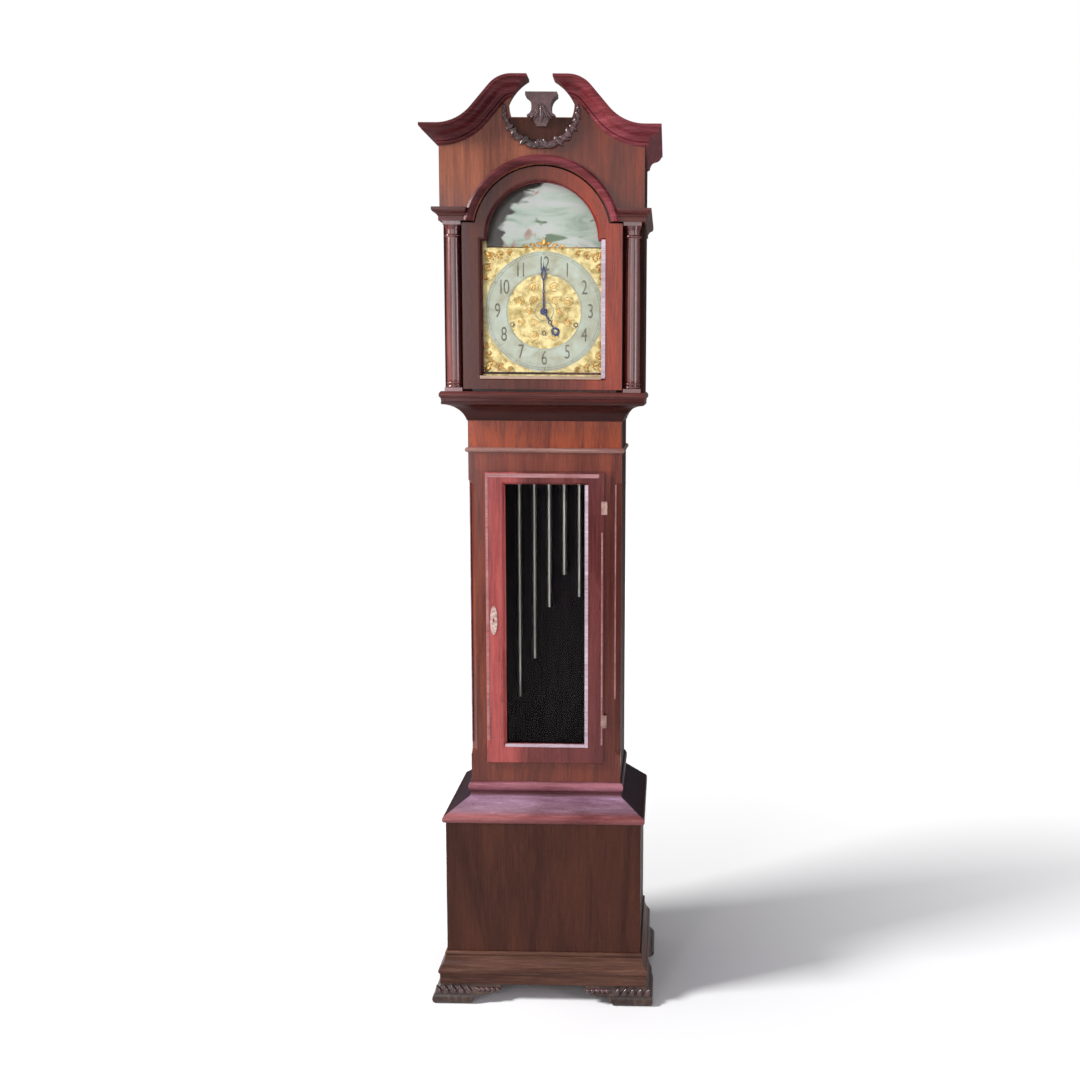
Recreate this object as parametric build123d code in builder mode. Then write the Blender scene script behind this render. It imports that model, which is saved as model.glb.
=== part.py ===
from build123d import *
from math import cos, radians, sin, sqrt, tan
import os

# Longcase clock with a glazed trunk door, five tubular bells and a swan-neck hood.
# Millimetres. +X runs to the right as the clock is seen from the front, the front faces -Y,
# and +Z is up from the floor. The origin is under the middle of the feet.

# Heights of the case, counted upwards piece on piece
foot_height = 46
base_height = 424
trunk_foot_height = 88
trunk_height = 930
support_height = 48
hood_base_height = 24
column_height = 406
entablature_height = 30
tympanum_height = 144
cornice_height = 44
swan_rise = 111

# Half widths and depths of the three boxes of the case
base_half_width = 248
base_depth = 316
trunk_half_width = 192
trunk_depth = 255
hood_half_width = 245
hood_depth = 305

# Boards
board = 15
trunk_board = 18
back_board = 12
front_frame = 22
foot_reach = 34
foot_length = 174

# Running gaps
slide_gap = 0.3
door_gap = 1.5
shaft_gap = 0.05
glue_line = 0.1

# Mouldings, as they stand out from the face that carries them
base_bead_reach = 20.5
slab_reach = 65
support_reach = 55
hood_bead_reach = 7
entablature_reach = 17
cornice_reach = 39.5
arch_reach = 11

# Trunk front and its door
door_half_width = 150
door_half_height = 375
door_lip = 10
door_proud = 9
door_member = 47
door_above_foot = 427
chamfer_leg = 15
chamfer_half_height = 355
chamfer_tongue = 14
top_member = 30
bottom_member = 50
glass = 3
rebate = 6
rebate_depth = 8
bolt_length = 27
hinge_height = 33
knuckle_radius = 3.2

# Hood door and dial
hood_door_half_width = 193
hood_door_thickness = 20
hood_opening_half_width = 150
hood_door_arch = 164
glass_arch = 137
arch_opening = 168
arch_moulding_outer = 190
arch_rise = 370
dial_arch_rise = 364
dial_rise = 195.5
dial_half = 152.5
dial_arch = 143
dial_plate_thickness = 2.5
dial_recess = 43
ring_outer = 145
ring_inner = 90
ring_thickness = 1.5

# Columns
column_radius = 19
column_block = 21.5
column_inset = 28

# Pediment
neck_low_radius = 110
neck_high_radius = 72
neck_slope = 49
neck_level = 35
neck_gap = 30.5
eye_radius = 78
eye_rise = 96
eye_sill = 66

crescent_radius = 92
carving_depth = 8
plinth_overhang = 10
plinth_cap = 37.5
plinth_waist = 23
top_board = 12
mask_board = 8
mask_height = 532

# Movement
plate_half_width = 125
plate_height = 210
plate_thickness = 3
plate_spacing = 96
dial_standoff = 21.5
winding_spread = 78
winding_drop = 32
centre_winding_drop = 52
barrel_radius = 30
barrel_length = 52
arbor_radius = 4
square_side = 5.2
cannon_radius = 4
pipe_radius = 6
pivot_radius = 1.5
centre_radius = 2
foot_spread = 110
pillar_spread = 112
minute_length = 126
hour_length = 78
hand_thickness = 1.2
rest_hour = 5
crutch_length = 60
drum_radius = 18
escape_drop = 30
escape_radius = 19
escape_teeth = 30
pendulum_rise = 80
pendulum_length = 190
bob_radius = 38
bob_thickness = 16
motion_offset = 34
cannon_teeth = 12
motion_teeth = 36
motion_pinion_teeth = 10
hour_teeth = 40

# Bells
tube_radius = 8
tube_wall = 1.2
tube_pitch = 41
first_tube_x = -94
tube_lengths = (976, 868, 725, 635, 696)
tube_top_drop = 55
tube_from_back = 50
rack_rise = 12
hammer_gap = 2.5
rod_radius = 3

# Places that follow from the sizes above
back_y = (base_depth + foot_reach) / 2
base_front = back_y - base_depth
trunk_front = back_y - trunk_depth
hood_front = back_y - hood_depth
slab_z = foot_height + base_height
trunk_z = slab_z + trunk_foot_height
support_z = trunk_z + trunk_height
hood_z = support_z + support_height
column_z = hood_z + hood_base_height
entablature_z = column_z + column_height
tympanum_z = entablature_z + entablature_height
cornice_z = tympanum_z + tympanum_height
cornice_top = cornice_z + cornice_height
pediment_top = cornice_top + swan_rise
dial_z = column_z + dial_rise
arch_z = column_z + arch_rise
dial_arch_z = column_z + dial_arch_rise
dial_front = hood_front + dial_recess
door_z = trunk_z + door_above_foot
board_front = back_y - back_board
hood_inside = hood_half_width - board
slab_floor = slab_z + 26

os.makedirs("parts", exist_ok=True)


def save(name, *solids):
    """Write one named piece, or a set of like pieces, to its own file."""
    piece = solids[0] if len(solids) == 1 else Compound(children=list(solids))
    piece.label = name
    export_step(piece, f"parts/{name}.step")


def block(x_range, y_range, z_range):
    """A plain board between two limits along each axis."""
    with BuildPart() as body:
        with BuildSketch(Plane.XY.offset(z_range[0])):
            with Locations(((x_range[0] + x_range[1]) / 2, (y_range[0] + y_range[1]) / 2)):
                Rectangle(x_range[1] - x_range[0], y_range[1] - y_range[0])
        extrude(amount=z_range[1] - z_range[0])
    return body.part


def front_length(section, half_width, front_y, reach):
    """A length of moulding along the front, mitred where it turns both corners."""
    with BuildPart() as length:
        with BuildSketch(Plane(origin=(0, front_y, 0), x_dir=(0, -1, 0), z_dir=(-1, 0, 0))):
            add(section)
        extrude(amount=half_width + reach, both=True)
        split(bisect_by=Plane(origin=(-half_width, front_y, 0), z_dir=(1, -1, 0)), keep=Keep.TOP)
        split(bisect_by=Plane(origin=(half_width, front_y, 0), z_dir=(-1, -1, 0)), keep=Keep.TOP)
    return length.part


def side_length(section, half_width, front_y, reach, end_y):
    """The length that runs back along the left side from its mitre."""
    start_y = front_y - reach
    with BuildPart() as length:
        with BuildSketch(Plane(origin=(-half_width, start_y, 0), x_dir=(-1, 0, 0), z_dir=(0, 1, 0))):
            add(section)
        extrude(amount=end_y - start_y)
        split(bisect_by=Plane(origin=(-half_width, front_y, 0), z_dir=(-1, 1, 0)), keep=Keep.TOP)
    return length.part


def three_sided(name, section, half_width, front_y, reach):
    """Front and side lengths of one moulding, as three mitred pieces."""
    left = side_length(section, half_width, front_y, reach, back_y)
    right = mirror(left, about=Plane.YZ)
    save(name, front_length(section, half_width, front_y, reach), left, right)


def pair(name, left):
    """Write a left-hand piece and its mirror image to two files."""
    save(f"{name}_left", left)
    save(f"{name}_right", mirror(left, about=Plane.YZ))


# Base: two sides, a front panel and a floor
base_side = block(
    (-base_half_width, -base_half_width + board),
    (base_front + trunk_board, board_front),
    (foot_height, slab_z),
)
pair("base_side", base_side)

with BuildPart() as base_front_panel:
    with BuildSketch(Plane.XZ.offset(-base_front - trunk_board)):
        with Locations((0, (foot_height + slab_z) / 2)):
            Rectangle(2 * base_half_width, base_height)
    extrude(amount=trunk_board)
save("base_front_panel", base_front_panel.part)

base_floor = block(
    (-base_half_width + board, base_half_width - board),
    (base_front + trunk_board, board_front),
    (foot_height + 14, foot_height + 26),
)
save("base_floor", base_floor)

# Mouldings round the base: a plinth band, a bold bead, a hollow and a small bead
top = foot_height + 81
with BuildSketch() as base_section:
    with BuildLine():
        Polyline((0, top), (3, top))
        RadiusArc((3, top), (3, top - 10), 6)
        Line((3, top - 10), (5, top - 12))
        ThreePointArc((5, top - 12), (9, top - 27), (16, top - 37))
        ThreePointArc((16, top - 37), (base_bead_reach, top - 46), (17, top - 55))
        Polyline((17, top - 55), (17, foot_height), (0, foot_height), (0, top))
    make_face()

three_sided("base_moulding", base_section.sketch, base_half_width, base_front, base_bead_reach)

# Bracket feet: an ogee section, cut to a scroll outline along each side
with BuildSketch() as foot_section:
    with BuildLine():
        Line((-6, foot_height), (16, foot_height))
        ThreePointArc((16, foot_height), (19, foot_height - 10), (26, foot_height - 18))
        ThreePointArc((26, foot_height - 18), (foot_reach, 14), (foot_reach - 5, 0))
        Polyline((foot_reach - 5, 0), (6, 0), (-6, foot_height))
    make_face()

def foot_outline(start, direction):
    """The scroll that a foot shows from one side, from its outer corner inwards."""
    def at(along, height):
        return (start + direction * along, height)

    with BuildSketch() as outline:
        with BuildLine():
            Polyline(at(-2, 0), at(0.58 * foot_length, 0))
            ThreePointArc(at(0.58 * foot_length, 0), at(0.63 * foot_length, 17), at(0.72 * foot_length, 25))
            ThreePointArc(at(0.72 * foot_length, 25), at(0.9 * foot_length, 29), at(foot_length, 38))
            Polyline(at(foot_length, 38), at(foot_length, foot_height), at(-2, foot_height), at(-2, 0))
        make_face()
    return outline.sketch


outer_corner = base_half_width + foot_reach
with BuildPart() as front_bracket:
    add(front_length(foot_section.sketch, base_half_width, base_front, foot_reach))
    with BuildSketch(Plane.XZ.offset(-base_front)):
        add(foot_outline(-outer_corner, 1))
    extrude(amount=2 * foot_reach, both=True, mode=Mode.INTERSECT)

with BuildPart() as side_bracket:
    add(side_length(foot_section.sketch, base_half_width, base_front, foot_reach, back_y))
    with BuildSketch(Plane.YZ.offset(-base_half_width)):
        add(foot_outline(base_front - foot_reach, 1))
    extrude(amount=2 * foot_reach, both=True, mode=Mode.INTERSECT)

with BuildPart() as rear_bracket:
    add(side_length(foot_section.sketch, base_half_width, base_front, foot_reach, back_y))
    with BuildSketch(Plane.YZ.offset(-base_half_width)):
        add(foot_outline(back_y, -1))
    extrude(amount=2 * foot_reach, both=True, mode=Mode.INTERSECT)
    with BuildSketch(Plane.XZ.offset(-back_y)):
        with Locations((-base_half_width + 40, foot_height / 2)):
            Rectangle(110, foot_height)
    extrude(amount=trunk_board)

with BuildPart() as front_foot:
    add(front_bracket.part)
    add(side_bracket.part)

feet = [front_foot.part, rear_bracket.part]
feet += [mirror(foot, about=Plane.YZ) for foot in feet]
save("bracket_feet", *feet)

# Moulding between base and trunk: bead, hollow, weathered slope and rounded lip
with BuildSketch() as trunk_foot_section:
    with BuildLine():
        Line((0, trunk_z), (2, trunk_z))
        ThreePointArc((2, trunk_z), (8, trunk_z - 13), (2, trunk_z - 26))
        ThreePointArc((2, trunk_z - 26), (4, trunk_z - 37), (11, trunk_z - 42))
        Line((11, trunk_z - 42), (slab_reach - 9, slab_z + 19))
        ThreePointArc((slab_reach - 9, slab_z + 19), (slab_reach - 1, slab_z + 13), (slab_reach, slab_z + 5))
        Polyline((slab_reach, slab_z + 5), (slab_reach - 3, slab_z), (-trunk_board, slab_z))
        Polyline((-trunk_board, slab_z), (-trunk_board, slab_floor), (0, slab_floor), (0, trunk_z))
    make_face()

three_sided("trunk_foot_moulding", trunk_foot_section.sketch, trunk_half_width, trunk_front, slab_reach)

# Backboard: wide behind base and hood, narrow behind the trunk
with BuildPart() as backboard:
    with BuildSketch(Plane.XZ.offset(-back_y)):
        with Locations((0, foot_height)):
            Rectangle(2 * base_half_width, base_height, align=(Align.CENTER, Align.MIN))
        with Locations((0, slab_z)):
            Rectangle(2 * (trunk_half_width - trunk_board), 40, align=(Align.CENTER, Align.MIN))
        with Locations((0, slab_floor)):
            Rectangle(2 * trunk_half_width, column_z - slab_floor, align=(Align.CENTER, Align.MIN))
        with Locations((0, column_z)):
            Rectangle(2 * (hood_inside - 2), cornice_z - board - column_z, align=(Align.CENTER, Align.MIN))
    extrude(amount=back_board)
save("backboard", backboard.part)

# Trunk sides, which rise into the hood as cheeks and carry the seatboard
seat_top = dial_z - plate_height / 2
seat_board = 18
trunk_side = block(
    (-trunk_half_width, -trunk_half_width + trunk_board),
    (trunk_front + front_frame, board_front),
    (slab_floor, seat_top - seat_board),
)
pair("trunk_side", trunk_side)

seatboard = block(
    (-trunk_half_width, trunk_half_width),
    (trunk_front + 12, trunk_front + 120),
    (seat_top - seat_board, seat_top),
)
save("seatboard", seatboard)

# Trunk front: two stiles with stopped chamfers, and two rails
opening_half_width = door_half_width - door_lip
opening_low = door_z - door_half_height + door_lip
opening_high = door_z + door_half_height - door_lip

with BuildPart() as chamfer_cutter:
    corner = Plane(origin=(-trunk_half_width, trunk_front, door_z), x_dir=(1, 1, 0), z_dir=(1, -1, 0))
    depth = chamfer_leg / sqrt(2)
    with BuildSketch(corner):
        with BuildLine():
            Line((-3, -chamfer_half_height), (0, -chamfer_half_height))
            ThreePointArc(
                (0, -chamfer_half_height),
                (0.7 * depth, -chamfer_half_height + 0.35 * chamfer_tongue),
                (depth, -chamfer_half_height + chamfer_tongue),
            )
            Line((depth, -chamfer_half_height + chamfer_tongue), (depth, chamfer_half_height - chamfer_tongue))
            ThreePointArc(
                (depth, chamfer_half_height - chamfer_tongue),
                (0.7 * depth, chamfer_half_height - 0.35 * chamfer_tongue),
                (0, chamfer_half_height),
            )
            Polyline((0, chamfer_half_height), (-3, chamfer_half_height), (-3, -chamfer_half_height))
        make_face()
    extrude(amount=2 * chamfer_leg, both=True)

with BuildPart() as plain_stile:
    add(block(
        (-trunk_half_width, -opening_half_width),
        (trunk_front, trunk_front + front_frame),
        (slab_floor, hood_z),
    ))
    add(chamfer_cutter.part, mode=Mode.SUBTRACT)
stile_right = mirror(plain_stile.part, about=Plane.YZ)
bolt_low = door_z - 7
bolt_high = door_z + 7
bolt_front = trunk_front + 1.5
bolt_rear = trunk_front + 7.5
bolt_mortise = block(
    (-opening_half_width - 10, -opening_half_width + 1),
    (bolt_front - slide_gap, bolt_rear + slide_gap),
    (bolt_low - 1, bolt_high + 1),
)
lower_rail = block(
    (-opening_half_width, opening_half_width),
    (trunk_front, trunk_front + front_frame),
    (slab_floor, opening_low),
)
upper_rail = block(
    (-opening_half_width, opening_half_width),
    (trunk_front, trunk_front + front_frame),
    (opening_high, hood_z),
)
with BuildPart() as lock_stile:
    add(plain_stile.part)
    add(bolt_mortise, mode=Mode.SUBTRACT)
save("trunk_front_frame", lock_stile.part, stile_right, lower_rail, upper_rail)

# A thin bead across the trunk under the hood
middle = support_z - 73
with BuildSketch() as astragal_section:
    with BuildLine():
        Line((0, middle - 6), (1, middle - 6))
        ThreePointArc((1, middle - 6), (7, middle), (1, middle + 6))
        Polyline((1, middle + 6), (0, middle + 6), (0, middle - 6))
    make_face()

three_sided("trunk_astragal", astragal_section.sketch, trunk_half_width, trunk_front, 7)

# Deep hollow that carries the hood
with BuildSketch() as support_section:
    with BuildLine():
        Line((0, hood_z - 1), (0, support_z))
        Line((0, support_z), (2, support_z))
        ThreePointArc((2, support_z), (16, support_z + 24), (support_reach - 3, support_z + 40))
        Polyline((support_reach - 3, support_z + 40), (support_reach, support_z + 41))
        Polyline((support_reach, support_z + 41), (support_reach, hood_z - 1), (0, hood_z - 1))
    make_face()

three_sided("hood_support_moulding", support_section.sketch, trunk_half_width, trunk_front, support_reach)

# Hood base: a frame on three sides with a bead, which slides on the support moulding
low = hood_z - 1 + slide_gap
with BuildSketch() as hood_base_section:
    with BuildLine():
        Polyline((-45, low), (2, low), (3, low + 8))
        ThreePointArc((3, low + 8), (hood_bead_reach, low + 16), (3, column_z - 1))
        Polyline((3, column_z - 1), (2, column_z), (-45, column_z), (-45, low))
    make_face()

three_sided("hood_base", hood_base_section.sketch, hood_half_width, hood_front, hood_bead_reach)

# Hood sides, each with the front return that stands behind its column
jamb_inner = hood_door_half_width - 15
jamb_front = hood_front + 23.5
column_x = -hood_half_width + column_inset
column_y = hood_front + column_block + 0.5
with BuildPart() as hood_side:
    with BuildSketch(Plane.XY.offset(column_z)):
        with BuildLine():
            Polyline(
                (-hood_half_width, back_y),
                (-hood_half_width, column_y + column_block),
                (column_x + column_block, column_y + column_block),
                (column_x + column_block, jamb_front),
                (-jamb_inner, jamb_front),
                (-jamb_inner, jamb_front + 34.5),
                (-hood_inside, jamb_front + 34.5),
                (-hood_inside, back_y),
                (-hood_half_width, back_y),
            )
        make_face()
    extrude(amount=column_height)
    with BuildSketch(Plane.XY.offset(entablature_z)):
        with Locations((-hood_half_width, hood_front + board)):
            Rectangle(board, hood_depth - board, align=(Align.MIN, Align.MIN))
    extrude(amount=cornice_z - entablature_z)
pair("hood_side", hood_side.part)

# Columns: square plinth, turned base, shaft with a slight swell, capital and abacus
with BuildPart() as column:
    with BuildSketch(Plane.XZ.offset(-column_y)) as turned:
        with BuildLine():
            Line((column_x, column_z + 9), (column_x + 18, column_z + 9))
            RadiusArc((column_x + 18, column_z + 9), (column_x + 18, column_z + 15), -3)
            Line((column_x + 18, column_z + 15), (column_x + 18.5, column_z + 18))
            RadiusArc((column_x + 18.5, column_z + 18), (column_x + 18.5, column_z + 23), -2.5)
            Line((column_x + 18.5, column_z + 23), (column_x + column_radius, column_z + 28))
            ThreePointArc(
                (column_x + column_radius, column_z + 28),
                (column_x + column_radius - 0.2, column_z + 0.45 * column_height),
                (column_x + column_radius - 2, entablature_z - 38),
            )
            Line((column_x + column_radius - 2, entablature_z - 38), (column_x + 19, entablature_z - 36))
            RadiusArc((column_x + 19, entablature_z - 36), (column_x + 19, entablature_z - 32), -2)
            Line((column_x + 19, entablature_z - 32), (column_x + column_radius - 2, entablature_z - 30))
            Line((column_x + column_radius - 2, entablature_z - 30), (column_x + column_radius - 2, entablature_z - 20))
            ThreePointArc(
                (column_x + column_radius - 2, entablature_z - 20),
                (column_x + 19, entablature_z - 14),
                (column_x + 21, entablature_z - 9),
            )
            Polyline((column_x + 21, entablature_z - 9), (column_x, entablature_z - 9), (column_x, column_z + 9))
        make_face()
    revolve(axis=Axis((column_x, column_y, 0), (0, 0, 1)))
    for low_z in (column_z, entablature_z - 9):
        with BuildSketch(Plane.XY.offset(low_z)):
            with Locations((column_x, column_y)):
                Rectangle(2 * column_block, 2 * column_block)
        extrude(amount=9)
pair("column", column.part)


# Pediment: each neck follows two arcs and a straight, at a set distance below the top edge
def neck_line(drop, outer_x):
    """The swan-neck line from its inner end out to outer_x, with +X outwards."""
    straight = (swan_rise - (neck_low_radius + neck_high_radius) * (1 - cos(radians(neck_slope))))
    straight /= sin(radians(neck_slope))
    start = Line((neck_gap, pediment_top - drop), (neck_gap + neck_level, pediment_top - drop))
    high = JernArc(start=start @ 1, tangent=(1, 0), radius=neck_high_radius - drop, arc_size=-neck_slope)
    slope = PolarLine(start=high @ 1, length=straight, direction=high % 1)
    low = JernArc(start=slope @ 1, tangent=slope % 1, radius=neck_low_radius + drop, arc_size=neck_slope)
    Line(low @ 1, (outer_x, cornice_top - drop))


def crown_section(top, backing):
    """Cornice section below a top edge: fillet, cyma and bead, with its backing board."""
    with BuildSketch() as section:
        with BuildLine():
            Line((-backing, top), (cornice_reach, top))
            Line((cornice_reach, top), (cornice_reach, top - 7))
            Line((cornice_reach, top - 7), (cornice_reach - 3, top - 8))
            ThreePointArc((cornice_reach - 3, top - 8), (cornice_reach - 8, top - 16), (22, top - 21))
            ThreePointArc((22, top - 21), (12, top - 26), (8, top - 34))
            Line((8, top - 34), (5, top - 35))
            ThreePointArc((5, top - 35), (7, top - 38.5), (3, top - 42))
            Polyline((3, top - 42), (2, top - cornice_height), (-backing, top - cornice_height), (-backing, top))
        make_face()
    return section.sketch


# Eye of the pediment: round below with a flat sill, drawn in above to the tips of the necks
eye_z = cornice_z + eye_rise
sill_z = cornice_z + eye_sill
eye_foot = sqrt(eye_radius**2 - (eye_z - sill_z) ** 2)
with BuildSketch() as eye:
    with BuildLine():
        Line((0, sill_z), (eye_foot, sill_z))
        RadiusArc((eye_foot, sill_z), (eye_radius, eye_z), -eye_radius)
        ThreePointArc((eye_radius, eye_z), (53, pediment_top - 23), (neck_gap, pediment_top - 6))
        Polyline((neck_gap, pediment_top - 6), (neck_gap, pediment_top + 9), (0, pediment_top + 9), (0, sill_z))
    make_face()
    mirror(about=Plane.YZ)

with BuildPart() as neck:
    with BuildLine(Plane.XZ.offset(-hood_front)) as neck_path:
        neck_line(0, hood_half_width + 2 * cornice_reach)
    start_plane = Plane(origin=(neck_gap, hood_front, pediment_top), x_dir=(0, -1, 0), z_dir=(-1, 0, 0))
    with BuildSketch(start_plane):
        add(crown_section(0, board))
    sweep(path=neck_path.wire())
    split(bisect_by=Plane(origin=(hood_half_width, hood_front, 0), z_dir=(-1, -1, 0)), keep=Keep.TOP)
    with BuildSketch(Plane.XZ.offset(-hood_front)):
        add(eye.sketch)
    extrude(amount=3 * board, both=True, mode=Mode.SUBTRACT)

crown_return = side_length(
    crown_section(cornice_top, board), hood_half_width, hood_front, cornice_reach, back_y
)
save("swan_neck_left", mirror(neck.part, about=Plane.YZ), crown_return)
save("swan_neck_right", neck.part, mirror(crown_return, about=Plane.YZ))

# Tympanum board: arch below, swan-neck line above, and the eye between
with BuildPart() as tympanum:
    with BuildSketch(Plane.XZ.offset(-hood_front - board)):
        with BuildLine():
            neck_line(cornice_height + glue_line, hood_half_width)
            Polyline(
                (hood_half_width, cornice_z - glue_line),
                (hood_half_width, entablature_z),
                (0, entablature_z),
                (0, pediment_top - cornice_height - glue_line),
                (neck_gap, pediment_top - cornice_height - glue_line),
            )
        make_face()
        mirror(about=Plane.YZ)
        with Locations((0, arch_z)):
            Circle(arch_opening, mode=Mode.SUBTRACT)
        add(eye.sketch, mode=Mode.SUBTRACT)
    extrude(amount=board)
save("tympanum_board", tympanum.part)

# Moulding round the hood arch, standing on the entablature
with BuildPart() as arch_moulding:
    with BuildSketch(Plane.XY.offset(arch_z)):
        with BuildLine():
            Polyline(
                (arch_opening + 2, hood_front),
                (arch_opening + 2, hood_front - 5),
                (arch_opening + 5, hood_front - 6),
            )
            ThreePointArc(
                (arch_opening + 5, hood_front - 6),
                (arch_opening + 8, hood_front - 9),
                (arch_opening + 13, hood_front - 10),
            )
            Line((arch_opening + 13, hood_front - 10), (arch_opening + 14, hood_front - arch_reach))
            ThreePointArc(
                (arch_opening + 14, hood_front - arch_reach),
                (arch_moulding_outer - 4, hood_front - arch_reach + 1),
                (arch_moulding_outer - 2, hood_front - arch_reach + 4),
            )
            Polyline(
                (arch_moulding_outer - 2, hood_front - arch_reach + 4),
                (arch_moulding_outer, hood_front - arch_reach + 5),
                (arch_moulding_outer, hood_front),
                (arch_opening + 2, hood_front),
            )
        make_face()
    revolve(axis=Axis((0, 0, arch_z), (0, 1, 0)))
    split(bisect_by=Plane.XY.offset(entablature_z), keep=Keep.TOP)
save("arch_moulding", arch_moulding.part)

# Entablature: a small cornice over the columns, cut away for the arch, with its soffit blocks
with BuildSketch() as entablature_section:
    with BuildLine():
        Polyline((0, entablature_z), (3, entablature_z), (3, entablature_z + 10), (5, entablature_z + 11))
        ThreePointArc((5, entablature_z + 11), (8, entablature_z + 16), (12, entablature_z + 18))
        ThreePointArc(
            (12, entablature_z + 18),
            (15, entablature_z + 20),
            (entablature_reach, tympanum_z - 6),
        )
        Polyline(
            (entablature_reach, tympanum_z - 6),
            (entablature_reach, tympanum_z),
            (0, tympanum_z),
            (0, entablature_z),
        )
    make_face()

with BuildPart() as entablature_front:
    add(front_length(entablature_section.sketch, hood_half_width, hood_front, entablature_reach))
    with BuildSketch(Plane.XZ.offset(-hood_front)):
        with Locations((0, arch_z)):
            Circle(arch_moulding_outer)
    extrude(amount=2 * entablature_reach, both=True, mode=Mode.SUBTRACT)

entablature_side = side_length(
    entablature_section.sketch, hood_half_width, hood_front, entablature_reach, back_y
)
soffit = block(
    (-hood_inside, -jamb_inner),
    (hood_front + board, column_y + column_block),
    (entablature_z, tympanum_z),
)
save(
    "entablature",
    entablature_front.part,
    entablature_side,
    mirror(entablature_side, about=Plane.YZ),
    soffit,
    mirror(soffit, about=Plane.YZ),
)

# Board that closes the top of the hood
save("hood_top_board", block(
    (-hood_inside, hood_inside),
    (hood_front + board, back_y),
    (cornice_z - top_board, cornice_z),
))

# Carved crescent under the eye
with BuildPart() as crescent:
    with BuildSketch(Plane.XZ.offset(-hood_front)):
        with Locations((0, eye_z - 11)):
            Circle(crescent_radius)
        with Locations((0, eye_z - 2)):
            Circle(crescent_radius - 6, mode=Mode.SUBTRACT)
        with Locations((0, eye_z - 10)):
            Rectangle(3 * crescent_radius, 2 * crescent_radius, align=(Align.CENTER, Align.MIN), mode=Mode.SUBTRACT)
    extrude(amount=carving_depth)
    fillet(crescent.faces().sort_by(Axis.Y)[0].edges(), carving_depth / 3)
save("carved_crescent", crescent.part)

# Plinth for a finial: a waisted block with a wide cap on the sill, over a small corbel
with BuildPart() as plinth:
    with BuildSketch(Plane.XZ.offset(-hood_front - board - plinth_overhang)):
        with BuildLine():
            Polyline((0, sill_z), (34, sill_z), (33, sill_z + 4))
            ThreePointArc((33, sill_z + 4), (25.5, sill_z + 10), (plinth_waist, sill_z + 20))
            ThreePointArc((plinth_waist, sill_z + 20), (26, sill_z + 36), (plinth_cap - 3, sill_z + 46))
            Polyline(
                (plinth_cap - 3, sill_z + 46),
                (plinth_cap, sill_z + 48),
                (plinth_cap, sill_z + 56),
                (0, sill_z + 56),
                (0, sill_z),
            )
        make_face()
        mirror(about=Plane.YZ)
    extrude(amount=2 * plinth_overhang + board)
    with BuildSketch(Plane.XZ.offset(-hood_front)):
        with Locations((0, sill_z)):
            Trapezoid(44, 22, 65, rotation=180, align=(Align.CENTER, Align.MIN))
    extrude(amount=plinth_overhang - 4)
save("finial_plinth", plinth.part)


def arched(half_width, low, high, radius, centre):
    """A rectangle with a round arch rising from it."""
    with BuildSketch() as outline:
        with Locations((0, low)):
            Rectangle(2 * half_width, high - low, align=(Align.CENTER, Align.MIN))
        with Locations((0, centre)):
            Circle(radius)
    return outline.sketch


def plate(outline, rear_y, thickness):
    """A flat part cut to an outline that is seen from the front."""
    with BuildPart() as body:
        with BuildSketch(Plane.XZ.offset(-rear_y)):
            add(outline)
        extrude(amount=thickness)
    return body.part


# Mask that frames the dial inside the hood
with BuildSketch() as mask:
    with Locations((0, column_z)):
        Rectangle(2 * (jamb_inner - slide_gap), mask_height, align=(Align.CENTER, Align.MIN))
    add(arched(dial_half - 4, dial_z - dial_half + 5, dial_arch_z, dial_arch - 4, dial_arch_z), mode=Mode.SUBTRACT)
mask_rear = dial_front - 3
save("dial_mask", plate(mask.sketch, mask_rear, mask_board))

# Hood door: an arched frame, rebated behind for its glass
hood_door_front = hood_front + 2
hood_door_rear = hood_door_front + hood_door_thickness
hood_door_low = column_z + 6
hood_opening_low = hood_door_low + 27
with BuildPart() as hood_door_frame:
    with BuildSketch(Plane.XZ.offset(-hood_door_rear)):
        add(arched(hood_door_half_width, hood_door_low, entablature_z - 4, hood_door_arch, arch_z))
        add(
            arched(hood_opening_half_width, hood_opening_low, dial_arch_z, glass_arch, dial_arch_z),
            mode=Mode.SUBTRACT,
        )
    extrude(amount=hood_door_thickness)
    with BuildSketch(Plane.XZ.offset(-hood_door_rear)):
        add(arched(
            hood_opening_half_width + rebate,
            hood_opening_low - rebate,
            dial_arch_z,
            glass_arch + rebate,
            dial_arch_z,
        ))
    extrude(amount=rebate_depth, mode=Mode.SUBTRACT)
    door_face = hood_door_frame.faces().sort_by(Axis.Y)[0]
    chamfer(door_face.inner_wires()[0].edges(), 4)
save("hood_door_frame", hood_door_frame.part)

glass_reach = rebate - slide_gap
hood_glass = arched(
    hood_opening_half_width + glass_reach,
    hood_opening_low - glass_reach,
    dial_arch_z,
    glass_arch + glass_reach,
    dial_arch_z,
)
save("hood_door_glass", plate(hood_glass, hood_door_rear - rebate_depth + glass, glass))

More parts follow.
